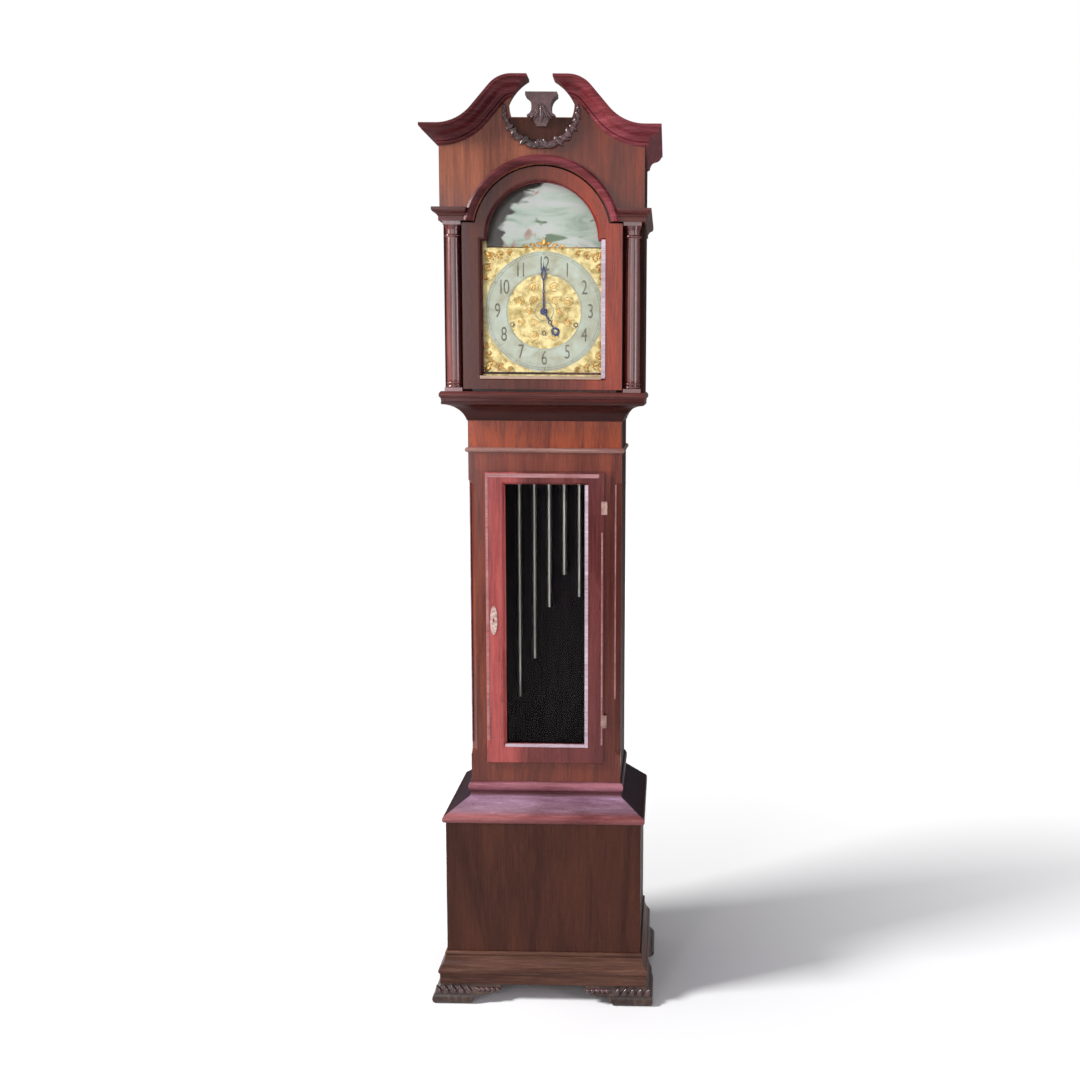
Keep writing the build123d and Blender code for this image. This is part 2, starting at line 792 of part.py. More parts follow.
# Trunk door: two stiles and two rails, lipped over the opening and rebated for glass
glass_half_width = door_half_width - door_member
glass_low = door_z - door_half_height + bottom_member
glass_high = door_z + door_half_height - top_member
glass_middle = (glass_low + glass_high) / 2
glass_height = glass_high - glass_low
leaf_half_width = opening_half_width - door_gap
door_face_y = trunk_front - door_proud
door_rear_y = trunk_front + door_proud
bolt_slot = block(
    (-leaf_half_width - 1, -leaf_half_width + bolt_length + 2),
    (bolt_front - slide_gap, bolt_rear + slide_gap),
    (bolt_low - slide_gap, bolt_high + slide_gap),
)
with BuildPart() as trunk_door_frame:
    with BuildSketch(Plane.XZ.offset(-trunk_front)):
        with Locations((0, door_z)):
            Rectangle(2 * door_half_width, 2 * door_half_height)
    extrude(amount=door_proud)
    lipped = trunk_door_frame.faces().sort_by(Axis.Y)[0]
    fillet(lipped.edges(), 3)
    with BuildSketch(Plane.XZ.offset(-door_rear_y)):
        with Locations((0, door_z)):
            Rectangle(2 * leaf_half_width, opening_high - opening_low - 2 * door_gap)
    extrude(amount=door_proud)
    with BuildSketch(Plane.XZ.offset(-door_rear_y)):
        with Locations((0, glass_middle)):
            Rectangle(2 * glass_half_width, glass_height)
    extrude(amount=2 * door_proud, mode=Mode.SUBTRACT)
    with BuildSketch(Plane.XZ.offset(-door_rear_y)):
        with Locations((0, glass_middle)):
            Rectangle(2 * (glass_half_width + rebate), glass_height + 2 * rebate)
    extrude(amount=rebate, mode=Mode.SUBTRACT)
    add(bolt_slot, mode=Mode.SUBTRACT)
    shown = trunk_door_frame.faces().sort_by(Axis.Y)[0]
    chamfer(shown.inner_wires()[0].edges(), 5)
save("trunk_door_frame", trunk_door_frame.part)

save("trunk_door_glass", block(
    (-glass_half_width - glass_reach, glass_half_width + glass_reach),
    (door_rear_y - rebate, door_rear_y - rebate + glass),
    (glass_low - glass_reach, glass_high + glass_reach),
))

save("lock_bolt", block(
    (-leaf_half_width, -leaf_half_width + bolt_length),
    (bolt_front, bolt_rear),
    (bolt_low, bolt_high),
))

with BuildSketch() as escutcheon:
    with Locations((-door_half_width + 20, door_z - 1.5)):
        Ellipse(9, 37)
        Circle(3.2, mode=Mode.SUBTRACT)
        SlotCenterToCenter(11, 2.8, rotation=90, mode=Mode.SUBTRACT)
save("trunk_door_escutcheon", plate(escutcheon.sketch, door_face_y, 1.5))

# Hinges of the trunk door: a leaf on its face and a knuckle beside its edge
hinge_x = door_half_width + 4
hinge_y = trunk_front - 6.2
hinges = []
for hinge_z in (door_z + 287, door_z - 263):
    with BuildPart() as hinge:
        with BuildSketch(Plane.XY.offset(hinge_z - hinge_height / 2)):
            with Locations((hinge_x, hinge_y)):
                Circle(knuckle_radius)
            with BuildLine():
                Polyline(
                    (door_half_width - 8, door_face_y),
                    (door_half_width - 8, door_face_y - 1),
                    (hinge_x, door_face_y - 1),
                    (hinge_x, door_face_y + 1),
                    (door_half_width + 1, door_face_y),
                    (door_half_width - 8, door_face_y),
                )
            make_face()
        extrude(amount=hinge_height)
    hinges.append(hinge.part)
save("trunk_door_hinges", *hinges)

# Dial plate on its four feet, with holes for the hands and the three winding squares
dial_rear = dial_front + dial_plate_thickness
plate_front = dial_rear + dial_standoff
plate_rear = plate_front + plate_thickness
back_plate_front = plate_rear + plate_spacing
back_plate_rear = back_plate_front + plate_thickness
winding_z = dial_z - winding_drop
centre_winding_z = dial_z - centre_winding_drop
pendulum_z = dial_z + pendulum_rise
escape_z = pendulum_z - escape_drop
winding_places = ((-winding_spread, winding_z), (0, centre_winding_z), (winding_spread, winding_z))
with BuildPart() as dial_plate:
    with BuildSketch(Plane.XZ.offset(-dial_rear)):
        add(arched(dial_half, dial_z - dial_half, dial_arch_z, dial_arch, dial_arch_z))
        with Locations(*winding_places):
            Circle(arbor_radius + 1, mode=Mode.SUBTRACT)
        with Locations((0, dial_z)):
            Circle(pipe_radius + 1, mode=Mode.SUBTRACT)
    extrude(amount=dial_plate_thickness)
    with BuildSketch(Plane.XZ.offset(-plate_front)):
        with Locations((0, dial_z)):
            with GridLocations(2 * foot_spread, 2 * foot_spread - 30, 2, 2):
                Circle(4)
    extrude(amount=dial_standoff)
save("dial_plate", dial_plate.part)

with BuildSketch() as ring:
    with Locations((0, dial_z)):
        Circle(ring_outer)
        Circle(ring_inner, mode=Mode.SUBTRACT)
save("chapter_ring", plate(ring.sketch, dial_front, ring_thickness))


def toothed(teeth, pitch_radius, phase):
    """Outline of a wheel with plain teeth, cut shallow enough to run free."""
    module = 2 * pitch_radius / teeth
    points = []
    for tooth in range(teeth):
        for turn, depth in ((-0.34, -0.75), (-0.12, 0.35), (0.12, 0.35), (0.34, -0.75)):
            angle = radians(phase + 360 * (tooth + turn) / teeth)
            radius = pitch_radius + depth * module
            points.append((radius * cos(angle), radius * sin(angle)))
    with BuildSketch() as outline:
        with BuildLine():
            Polyline(*points, close=True)
        make_face()
    return outline.sketch


def wheel(outline, x, z, rear_y, thickness):
    """One wheel or disc with its centre at x and z, standing forward from rear_y."""
    with BuildPart() as body:
        with BuildSketch(Plane.XZ.offset(-rear_y)):
            with Locations((x, z)):
                add(outline)
        extrude(amount=thickness)
    return body.part


def round_bar(radius, x, z, rear_y, front_y):
    """A round bar that runs from back to front."""
    with BuildPart() as body:
        with BuildSketch(Plane.XZ.offset(-rear_y)):
            with Locations((x, z)):
                Circle(radius)
        extrude(amount=rear_y - front_y)
    return body.part


# Movement plates, which stand on the seatboard, with the pillars on the back one
movement_z = seat_top + plate_height / 2
drum_x = -80
drum_z = dial_z + 54
bores = [(x, z, arbor_radius) for x, z in winding_places]
bores += [(0, dial_z, centre_radius), (0, pendulum_z, centre_radius)]
bores += [(0, escape_z, pivot_radius), (drum_x, drum_z, centre_radius)]
with BuildSketch() as plate_outline:
    with Locations((0, movement_z)):
        Rectangle(2 * plate_half_width, plate_height)
    for x, z, radius in bores:
        with Locations((x, z)):
            Circle(radius + shaft_gap, mode=Mode.SUBTRACT)

stud_x = motion_offset
stud_front = dial_rear + 3
with BuildPart() as front_movement_plate:
    add(plate(plate_outline.sketch, plate_rear, plate_thickness))
    add(round_bar(centre_radius, stud_x, dial_z, plate_front, stud_front))
save("movement_front_plate", front_movement_plate.part)

cock_front = back_plate_rear + 8
cock_rear = cock_front + plate_thickness
pin_rear = cock_rear + 16
with BuildPart() as back_movement_plate:
    add(plate(plate_outline.sketch, back_plate_rear, plate_thickness))
    with BuildSketch(Plane.XZ.offset(-back_plate_front)):
        with Locations((0, movement_z)):
            with GridLocations(2 * pillar_spread, 2 * pillar_spread - 36, 2, 2):
                Circle(5)
    extrude(amount=plate_spacing)
    with BuildSketch(Plane.XZ.offset(-cock_front)):
        with Locations((-18, pendulum_z), (18, pendulum_z)):
            Rectangle(8, 24)
    extrude(amount=cock_front - back_plate_rear)
    with BuildSketch(Plane.XZ.offset(-cock_rear)):
        with Locations((0, pendulum_z)):
            Rectangle(44, 24)
    extrude(amount=plate_thickness)
    add(round_bar(centre_radius, 0, pendulum_z, pin_rear, cock_rear))
save("movement_back_plate", back_movement_plate.part)

# Motion work behind the dial: the minute hand turns the motion wheel, which turns the hour hand
cannon_pitch = motion_offset * cannon_teeth / (cannon_teeth + motion_teeth)
motion_pitch = motion_offset - cannon_pitch
pinion_pitch = motion_offset * motion_pinion_teeth / (motion_pinion_teeth + hour_teeth)
hour_pitch = motion_offset - pinion_pitch
low_layer = plate_front - 1.5
high_layer = low_layer - 5.5
hour_layer = high_layer - 2.5
hour_hand_y = dial_front - 5
minute_hand_y = hour_hand_y - 4


def hand(length, spade):
    """A pierced hand that points straight up from its boss."""
    with BuildSketch() as outline:
        Circle(9)
        with BuildLine():
            Polyline((-2.6, 0), (-1.6, 0.68 * length), (1.6, 0.68 * length), (2.6, 0), (-2.6, 0))
        make_face()
        with Locations((0, 0.38 * length)):
            Circle(0.5 * spade)
        with BuildLine():
            Line((0, length), (0.9, 0.86 * length))
            ThreePointArc((0.9, 0.86 * length), (spade, 0.72 * length), (1.4, 0.58 * length))
            Line((1.4, 0.58 * length), (-1.4, 0.58 * length))
            ThreePointArc((-1.4, 0.58 * length), (-spade, 0.72 * length), (-0.9, 0.86 * length))
            Line((-0.9, 0.86 * length), (0, length))
        make_face()
        with Locations((0, 0.38 * length)):
            Circle(0.5 * spade - 2, mode=Mode.SUBTRACT)
        with Locations((0, 0.71 * length)):
            Ellipse(0.42 * spade, 0.07 * length, mode=Mode.SUBTRACT)
    return outline.sketch


with BuildPart() as minute_hand:
    add(wheel(hand(minute_length, 6.5), 0, dial_z, minute_hand_y, hand_thickness))
    add(round_bar(cannon_radius, 0, dial_z, low_layer, minute_hand_y - 3))
    add(wheel(toothed(cannon_teeth, cannon_pitch, 0), 0, dial_z, low_layer, 4.5))
    add(round_bar(centre_radius, 0, dial_z, back_plate_rear, low_layer))
    add(wheel(toothed(48, 28, 0), 0, dial_z, back_plate_front - 14, 2))
save("minute_hand", minute_hand.part)

with BuildSketch() as hour_outline:
    add(hand(hour_length, 10.5).rotate(Axis.Z, -30 * rest_hour))
with BuildPart() as hour_hand:
    add(wheel(hour_outline.sketch, 0, dial_z, hour_hand_y, hand_thickness))
    add(round_bar(pipe_radius, 0, dial_z, hour_layer, hour_hand_y))
    add(wheel(toothed(hour_teeth, hour_pitch, 180 / hour_teeth), 0, dial_z, hour_layer, 2))
    with BuildSketch(Plane.XZ.offset(-hour_layer)):
        with Locations((0, dial_z)):
            Circle(cannon_radius + shaft_gap)
    extrude(amount=4 * dial_standoff, mode=Mode.SUBTRACT)
save("hour_hand", hour_hand.part)

with BuildPart() as motion_wheel:
    add(wheel(
        toothed(motion_teeth, motion_pitch, 180 + 180 / motion_teeth), stud_x, dial_z, low_layer - 1, 2
    ))
    add(wheel(toothed(motion_pinion_teeth, pinion_pitch, 180), stud_x, dial_z, low_layer - 3, 8))
    with BuildSketch(Plane.XZ.offset(-plate_front)):
        with Locations((stud_x, dial_z)):
            Circle(centre_radius + shaft_gap)
    extrude(amount=dial_standoff, mode=Mode.SUBTRACT)
save("motion_wheel", motion_wheel.part)

# Three spring barrels, each on an arbor with a winding square behind its hole in the dial
barrel_front = plate_rear + 10
barrel_rear = barrel_front + barrel_length
square_rear = dial_rear + 14
for name, place in zip(("strike_barrel", "time_barrel", "chime_barrel"), winding_places):
    with BuildPart() as barrel:
        add(round_bar(barrel_radius, *place, barrel_rear, barrel_front))
        add(wheel(toothed(48, barrel_radius + 2.5, 0), *place, barrel_rear + 4, 4))
        add(round_bar(arbor_radius, *place, back_plate_rear, square_rear))
        with BuildSketch(Plane.XZ.offset(-square_rear)):
            with Locations(place):
                Rectangle(square_side, square_side)
        extrude(amount=square_rear - dial_front + 3)
    save(name, barrel.part)

# Escape wheel, and the anchor that rocks over it on the same axis as the pendulum
escape_front = back_plate_front - 28
with BuildPart() as escape_wheel:
    add(wheel(toothed(escape_teeth, escape_radius, 0), 0, escape_z, escape_front + 2, 2))
    add(round_bar(pivot_radius, 0, escape_z, back_plate_rear, plate_front))
    add(round_bar(4, 0, escape_z, escape_front + 14, escape_front + 2))
save("escape_wheel", escape_wheel.part)

pallet_reach = escape_radius + 1.9
pallet_angle = 37
with BuildPart() as anchor:
    with BuildSketch(Plane.XZ.offset(-escape_front - 4)):
        with Locations((0, escape_z)):
            Circle(pallet_reach + 6)
            Circle(pallet_reach + 3, mode=Mode.SUBTRACT)
            for side in (-1, 1):
                with Locations((0, 0)):
                    with PolarLocations(pallet_reach + 3, 1, 90 + side * pallet_angle):
                        Rectangle(6, 2.5)
        with BuildLine():
            Polyline(
                (0, escape_z),
                (-50, escape_z + 50 / tan(radians(pallet_angle + 4))),
                (-50, escape_z - 60),
                (50, escape_z - 60),
                (50, escape_z + 50 / tan(radians(pallet_angle + 4))),
                (0, escape_z),
            )
        make_face(mode=Mode.SUBTRACT)
        with Locations((0, pendulum_z)):
            Circle(5)
    extrude(amount=6)
    add(round_bar(centre_radius, 0, pendulum_z, cock_front, plate_front))
    with BuildSketch(Plane.XZ.offset(-back_plate_rear - 4)):
        with Locations((0, pendulum_z)):
            Circle(5)
            Rectangle(5, crutch_length, align=(Align.CENTER, Align.MAX))
    extrude(amount=2)
    add(round_bar(pivot_radius, 0, pendulum_z - crutch_length + 3, pin_rear - 2, back_plate_rear + 4))
save("anchor", anchor.part)

# Pendulum: hub on the cock pin, flat rod with a slot for the crutch, and a lens bob
rod_y = pin_rear - 6
bob_z = pendulum_z - pendulum_length
bob_half = bob_thickness / 2
with BuildPart() as bob:
    with BuildSketch(Plane.YZ):
        with BuildLine():
            Line((rod_y - 2, bob_z), (rod_y - bob_half, bob_z))
            ThreePointArc(
                (rod_y - bob_half, bob_z),
                (rod_y - 0.82 * bob_half, bob_z + 0.5 * bob_radius),
                (rod_y - 2, bob_z + bob_radius),
            )
            Polyline((rod_y - 2, bob_z + bob_radius), (rod_y - 2, bob_z))
        make_face()
    revolve(axis=Axis((0, rod_y, bob_z), (0, 1, 0)))
    mirror(about=Plane.XZ.offset(-rod_y))
    add(round_bar(bob_radius, 0, bob_z, rod_y + 2, rod_y - 2))

with BuildPart() as pendulum:
    with BuildSketch(Plane.XZ.offset(-rod_y - 1)):
        with Locations((0, pendulum_z)):
            Circle(5)
            Rectangle(6, pendulum_length, align=(Align.CENTER, Align.MAX))
        with Locations((0, pendulum_z - crutch_length + 3)):
            Rectangle(14, 18)
    extrude(amount=2)
    add(round_bar(5, 0, pendulum_z, rod_y + 3, rod_y - 3))
    with BuildSketch(Plane.XZ.offset(-rod_y - 5)):
        with Locations((0, pendulum_z)):
            Circle(centre_radius + shaft_gap)
        with Locations((0, pendulum_z - crutch_length + 3)):
            Rectangle(2 * pivot_radius + 2 * slide_gap, 12)
    extrude(amount=10, mode=Mode.SUBTRACT)
    add(bob.part)
save("pendulum", pendulum.part)

# Chime drum: pins round it would lift the hammer tails as it turns
drum_front = plate_rear + 20
drum_rear = back_plate_front - 20
with BuildPart() as chime_drum:
    add(round_bar(drum_radius, drum_x, drum_z, drum_rear, drum_front))
    add(round_bar(centre_radius, drum_x, drum_z, back_plate_rear, plate_front))
    for row in range(len(tube_lengths)):
        row_y = drum_front + 8 + 10 * row
        drum_row = Plane(origin=(drum_x, row_y, drum_z), x_dir=(1, 0, 0), z_dir=(0, -1, 0))
        with BuildSketch(drum_row):
            with PolarLocations(drum_radius, 4, 31 * row):
                Rectangle(5, 1.6)
        extrude(amount=1.6)
save("chime_drum", chime_drum.part)

# Rack on the backboard: two brackets, the rod that carries the bells and the hammer rod
tube_y = board_front - tube_from_back + back_board
tube_top = dial_z - tube_top_drop
rod_z = tube_top + rack_rise
hammer_y = tube_y - 13
hammer_z = rod_z + 22.5
last_tube_x = first_tube_x + (len(tube_lengths) - 1) * tube_pitch
rack_left = first_tube_x - 31
rack_right = last_tube_x + 31


def cross_bar(radius, y, z):
    """A round rod that runs across the case from bracket to bracket."""
    with BuildPart() as rod:
        with BuildSketch(Plane.YZ.offset(rack_left)):
            with Locations((y, z)):
                Circle(radius)
        extrude(amount=rack_right - rack_left)
    return rod.part


with BuildPart() as tube_rack:
    add(block((rack_left - 6, rack_right + 6), (board_front - 6, board_front), (rod_z - 12, hammer_z + 10)))
    for end in (rack_left - 6, rack_right):
        add(block((end, end + 6), (hammer_y - 8, board_front - 6), (rod_z - 12, hammer_z + 10)))
    add(cross_bar(rod_radius, tube_y, rod_z))
    add(cross_bar(rod_radius - 0.5, hammer_y, hammer_z))
save("tube_rack", tube_rack.part)

# Bells: open tubes, each with a brass cap and a lug that hangs on the rod
for number, length in enumerate(tube_lengths):
    tube_x = first_tube_x + number * tube_pitch
    with BuildPart() as bell:
        with BuildSketch(Plane.XY.offset(tube_top - length)):
            with Locations((tube_x, tube_y)):
                Circle(tube_radius)
                Circle(tube_radius - tube_wall, mode=Mode.SUBTRACT)
        extrude(amount=length)
        with BuildSketch(Plane.XY.offset(tube_top - 6)):
            with Locations((tube_x, tube_y)):
                Circle(tube_radius + 0.8)
        extrude(amount=6)
        with BuildSketch(Plane.YZ.offset(tube_x - 1.5)):
            with Locations((tube_y, rod_z)):
                Circle(rod_radius + 3)
            with Locations((tube_y, tube_top)):
                Rectangle(2 * rod_radius + 4, rack_rise, align=(Align.CENTER, Align.MIN))
            with Locations((tube_y, rod_z)):
                Circle(rod_radius + shaft_gap, mode=Mode.SUBTRACT)
        extrude(amount=3)
    save(f"bell_tube_{number + 1}", bell.part)

    # Its hammer hangs from the upper rod, and stands off the tube by the hammer gap
    head_rear = tube_y - tube_radius - hammer_gap
    head_z = tube_top - 14
    with BuildPart() as hammer:
        with BuildSketch(Plane.YZ.offset(tube_x - 3)):
            with Locations((hammer_y, hammer_z)):
                Circle(rod_radius + 2.5)
            with BuildLine():
                Polyline(
                    (hammer_y - 3, hammer_z),
                    (head_rear - 13, head_z),
                    (head_rear - 8, head_z),
                    (hammer_y + 2, hammer_z),
                    (hammer_y - 3, hammer_z),
                )
            make_face()
            with Locations((hammer_y, hammer_z)):
                Circle(rod_radius - 0.5 + shaft_gap, mode=Mode.SUBTRACT)
        extrude(amount=6)
        add(round_bar(7, tube_x, head_z, head_rear, head_rear - 18))
    save(f"hammer_{number + 1}", hammer.part)
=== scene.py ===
# %% [markdown]
# # Longcase clock with tubular bells
# The case, doors, movement and bells arrive as solids at their real size. This lesson
# dresses them: polished mahogany, gilt and silvered brass, plated tubes and old glass, and
# the small carved and engraved trim that is easier to shape here than in a solid model.

# %% Load the clock
import bpy
import bmesh
import random
from math import cos, pi, radians, sin
from mathutils import Matrix, Vector


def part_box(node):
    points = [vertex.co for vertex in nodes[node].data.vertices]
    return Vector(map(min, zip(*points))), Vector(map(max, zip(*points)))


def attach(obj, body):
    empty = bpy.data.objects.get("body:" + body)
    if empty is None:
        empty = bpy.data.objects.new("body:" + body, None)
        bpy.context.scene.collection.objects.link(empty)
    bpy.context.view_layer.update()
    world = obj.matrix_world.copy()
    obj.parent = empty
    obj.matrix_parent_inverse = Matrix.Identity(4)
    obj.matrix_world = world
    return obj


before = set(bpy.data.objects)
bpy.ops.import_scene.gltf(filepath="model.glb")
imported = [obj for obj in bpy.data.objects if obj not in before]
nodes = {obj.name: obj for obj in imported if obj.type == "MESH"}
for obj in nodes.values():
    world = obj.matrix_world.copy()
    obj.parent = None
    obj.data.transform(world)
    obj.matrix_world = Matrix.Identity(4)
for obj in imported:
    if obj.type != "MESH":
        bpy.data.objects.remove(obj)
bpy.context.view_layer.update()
random.seed(7)

# %% [markdown]
# ## Camera
# The photograph was taken from the clock's right, at about the height of its dial, with the
# lens looking slightly down. A Track To constraint would keep the picture level, and this one
# leans by half a degree, so the camera's three axes go straight into its matrix. The angles
# come from fitting the case's straight edges, and a small shift sets the clock left of middle.

# %% Camera
yaw, pitch, roll = radians(0.68), radians(6.61), radians(0.51)
camera_place = (0.3085, -2.7653, 1.5844)
ahead = Vector((-sin(yaw) * cos(pitch), cos(yaw) * cos(pitch), -sin(pitch)))
level = Vector((cos(yaw), sin(yaw), 0))
upward = level.cross(ahead)
across = cos(roll) * level + sin(roll) * upward
above = cos(roll) * upward - sin(roll) * level
camera_data = bpy.data.cameras.new("camera")
camera_data.sensor_width = 36
camera_data.lens = 35.96
camera_data.shift_x = -0.1068
camera_data.shift_y = -0.0297
camera = bpy.data.objects.new("camera", camera_data)
axes = Matrix((across, above, -ahead)).transposed()
camera.matrix_world = Matrix.Translation(camera_place) @ axes.to_4x4()
bpy.context.scene.collection.objects.link(camera)
bpy.context.scene.camera = camera
bpy.context.scene.view_settings.view_transform = "Standard"
print("camera at", [round(v, 3) for v in camera_place], "lens", camera_data.lens)

# %% [markdown]
# ## Nodes from a script
# In the editor a finish is a few nodes dragged together. In a script the same steps repeat:
# add a node, type its numbers, draw its links. Three short helpers do that, so the finishes
# below read as recipes. A number that is even over a surface sits on the shader's own socket.

# %% Helpers that build a node tree
white = (1, 1, 1)


def new_finish(name):
    """An empty material, its node tree and its shader."""
    finish = bpy.data.materials.new(name)
    finish.use_nodes = True
    tree = finish.node_tree
    return finish, tree, tree.nodes["Principled BSDF"]


def add_node(tree, kind, **values):
    """One node, with its properties and unlinked inputs set by name."""
    node = tree.nodes.new(kind)
    for key, value in values.items():
        if hasattr(node, key):
            setattr(node, key, value)
        else:
            node.inputs[key.replace("_", " ")].default_value = value
    return node


def feed(tree, socket, value):
    """Link a socket to an output, or set it where the value is a plain number or colour."""
    if isinstance(value, bpy.types.NodeSocket):
        tree.links.new(value, socket)
    else:
        socket.default_value = value


print("helpers: new_finish, add_node, feed")

# %% [markdown]
# ## Patterns on Object coordinates
# Wood and metal could be painted as pictures, but a picture needs unwrapping and stretches at
# mouldings. A noise on Object coordinates needs neither and keeps its scale in metres. Drawn
# out along a board and squeezed across it, the noise reads as fibres. A ramp turns its values
# into colours, and a bump makes it a fine relief.


# %% Helpers for patterns
def object_noise(tree, stretch, scale, detail=4.0, roughness=0.55, distortion=0.0):
    """Noise on Object coordinates, stretched along the axes."""
    place = add_node(tree, "ShaderNodeTexCoord")
    mapping = add_node(tree, "ShaderNodeMapping", Scale=stretch)
    noise = add_node(tree, "ShaderNodeTexNoise", Scale=scale, Detail=detail)
    noise.inputs["Roughness"].default_value = roughness
    noise.inputs["Distortion"].default_value = distortion
    tree.links.new(place.outputs["Object"], mapping.inputs["Vector"])
    tree.links.new(mapping.outputs["Vector"], noise.inputs["Vector"])
    return noise.outputs["Fac"]


def ramp(tree, source, stops):
    """A colour for each value, from stops of a position and a colour."""
    node = add_node(tree, "ShaderNodeValToRGB")
    while len(node.color_ramp.elements) < len(stops):
        node.color_ramp.elements.new(0.5)
    for element, (position, colour) in zip(node.color_ramp.elements, stops):
        element.position = position
        element.color = (*colour, 1)
    tree.links.new(source, node.inputs["Fac"])
    return node.outputs["Color"]


def blend_colours(tree, factor, first, second, mode="MIX"):
    """Mix two colours by a factor. Each is an output or a plain value."""
    node = add_node(tree, "ShaderNodeMix", data_type="RGBA", blend_type=mode)
    feed(tree, node.inputs["Factor"], factor)
    feed(tree, node.inputs["A"], first)
    feed(tree, node.inputs["B"], second)
    return node.outputs["Result"]


def bump(tree, shader, height, strength, distance):
    """Raise or sink the surface by a pattern."""
    node = add_node(tree, "ShaderNodeBump", Strength=strength, Distance=distance)
    tree.links.new(height, node.inputs["Height"])
    tree.links.new(node.outputs["Normal"], shader.inputs["Normal"])


print("helpers: object_noise, ramp, blend_colours, bump")

# %% [markdown]
# ## Painted light and shade over the case
# Light and shade fall unevenly over the fronts of the case, and here they are painted into the
# wood. A second material for each area would show a hard seam, so a soft tone of painted light and
# shade runs along one axis and is multiplied into the wood. The sloping foot of the trunk is pale
# in front and dark with painted shade on its returns. The sum of X, without its sign, and Y finds
# its mitres, because they lie at 45 degrees.


# %% Helpers for painted light and shade
def split_place(tree):
    """The Object coordinates, as separate X, Y and Z outputs."""
    place = add_node(tree, "ShaderNodeTexCoord")
    parts = add_node(tree, "ShaderNodeSeparateXYZ")
    tree.links.new(place.outputs["Object"], parts.inputs["Vector"])
    return parts.outputs


def tone(tree, axis, low, high, stops):
    """Painted light and shade that changes along one axis of the clock, between two places in
    metres.
    """
    span = add_node(tree, "ShaderNodeMapRange", From_Min=low, From_Max=high)
    tree.links.new(split_place(tree)[axis], span.inputs["Value"])
    return ramp(tree, span.outputs["Result"], stops)


def darker_returns(tree, corner):
    """White on a front run, and dark with painted shade past its mitres."""
    parts = split_place(tree)
    outward = add_node(tree, "ShaderNodeMath", operation="ABSOLUTE")
    total = add_node(tree, "ShaderNodeMath")
    low, high = corner - 0.001, corner + 0.002
    span = add_node(tree, "ShaderNodeMapRange", From_Min=low, From_Max=high)
    tree.links.new(parts["X"], outward.inputs[0])
    tree.links.new(outward.outputs["Value"], total.inputs[0])
    tree.links.new(parts["Y"], total.inputs[1])
    tree.links.new(total.outputs["Value"], span.inputs["Value"])
    return ramp(tree, span.outputs["Result"], [(0.0, white), (1.0, (0.13, 0.1, 0.12))])


print("helpers: split_place, tone, darker_returns")

# %% [markdown]
# ## Mahogany
# French-polished mahogany has three scales of pattern: broad bands of figure, fine fibres
# along the board, and short dark pores. One noise can't show all three, so each gets its own,
# and the ramps' colours are mixed. The polish could be a low roughness alone, but it is a
# film over the wood, so the shader's coat layer carries it.


# %% Helper for polished wood
def polished_wood(
    name, deep, body, warm, stretch, figure=0.5, sheen=0.2, gloss=0.28, tones=None, mitre=None
):
    """Mahogany with figure, fibres and pores, under a thin polish."""
    finish, tree, shader = new_finish(name)
    broad_stretch = [0.22 * s + 0.6 for s in stretch]
    pore_stretch = [7 * s for s in stretch]
    fibres = object_noise(tree, stretch, 9.0, detail=6.0, roughness=0.62, distortion=0.25)
    broad = object_noise(tree, broad_stretch, 2.4, detail=3.0, roughness=0.5, distortion=1.2)
    pores = object_noise(tree, pore_stretch, 9.0, detail=2.0, roughness=0.5)
    grain = ramp(tree, fibres, [(0.3, deep), (0.52, body), (0.74, warm)])
    bands = ramp(tree, broad, [(0.34, deep), (0.66, warm)])
    dots = ramp(tree, pores, [(0.36, (0.45, 0.38, 0.38)), (0.46, white)])
    colour = blend_colours(tree, figure, grain, bands)
    colour = blend_colours(tree, 0.5, colour, dots, "MULTIPLY")
    # Painted light and shade: a tone along one axis, and painted shade on the returns past a
    # mitre.
    if tones:
        colour = blend_colours(tree, 1.0, colour, tone(tree, *tones), "MULTIPLY")
    if mitre:
        colour = blend_colours(tree, 1.0, colour, darker_returns(tree, mitre), "MULTIPLY")
    tree.links.new(colour, shader.inputs["Base Color"])
    wear = ramp(tree, broad, [(0.3, (sheen,) * 3), (0.75, (sheen + 0.14,) * 3)])
    tree.links.new(wear, shader.inputs["Roughness"])
    shader.inputs["Coat Weight"].default_value = gloss * 0.5
    shader.inputs["Coat Roughness"].default_value = 0.1
    shader.inputs["Specular IOR Level"].default_value = gloss
    bump(tree, shader, pores, strength=0.12, distance=0.0004)
    return finish


upright_grain, level_grain = (26, 26, 1.3), (1.3, 1.3, 26)
print("grain stretch, upright and level:", upright_grain, level_grain)

# %% [markdown]
# ## Woods of the front
# The front of the case is what a maker chose with care: warm boards on trunk and hood, a redder
# door, and a plain dark panel below. Colours are given as deep, middle and warm, and the tones are
# painted shade: each front darkens towards the side that lies in shade.

# %% Front boards and doors
# Painted shade: the trunk front turns a little darker and pinker towards its right.
trunk_wood = polished_wood(
    "mahogany_trunk", (0.055, 0.011, 0.007), (0.135, 0.026, 0.015), (0.22, 0.052, 0.024),
    upright_grain, figure=0.45,
    tones=("X", -0.19, 0.19, [(0.0, white), (1.0, (1, 0.9, 1))]),
)
rail_wood = polished_wood(
    "mahogany_rail", (0.07, 0.012, 0.007), (0.165, 0.030, 0.016), (0.26, 0.058, 0.026),
    upright_grain, figure=0.45,
)
# Painted shade: the trunk door keeps full colour on its left stile and darkens from the middle
# rightwards.
door_stops = [(0.0, white), (0.2, white), (0.36, (0.42, 0.44, 0.42)), (1.0, (0.34, 0.34, 0.36))]
trunk_door_wood = polished_wood(
    "mahogany_trunk_door", (0.14, 0.02, 0.018), (0.33, 0.052, 0.048), (0.50, 0.11, 0.10),
    upright_grain, figure=0.45, tones=("X", -0.15, 0.15, door_stops),
)
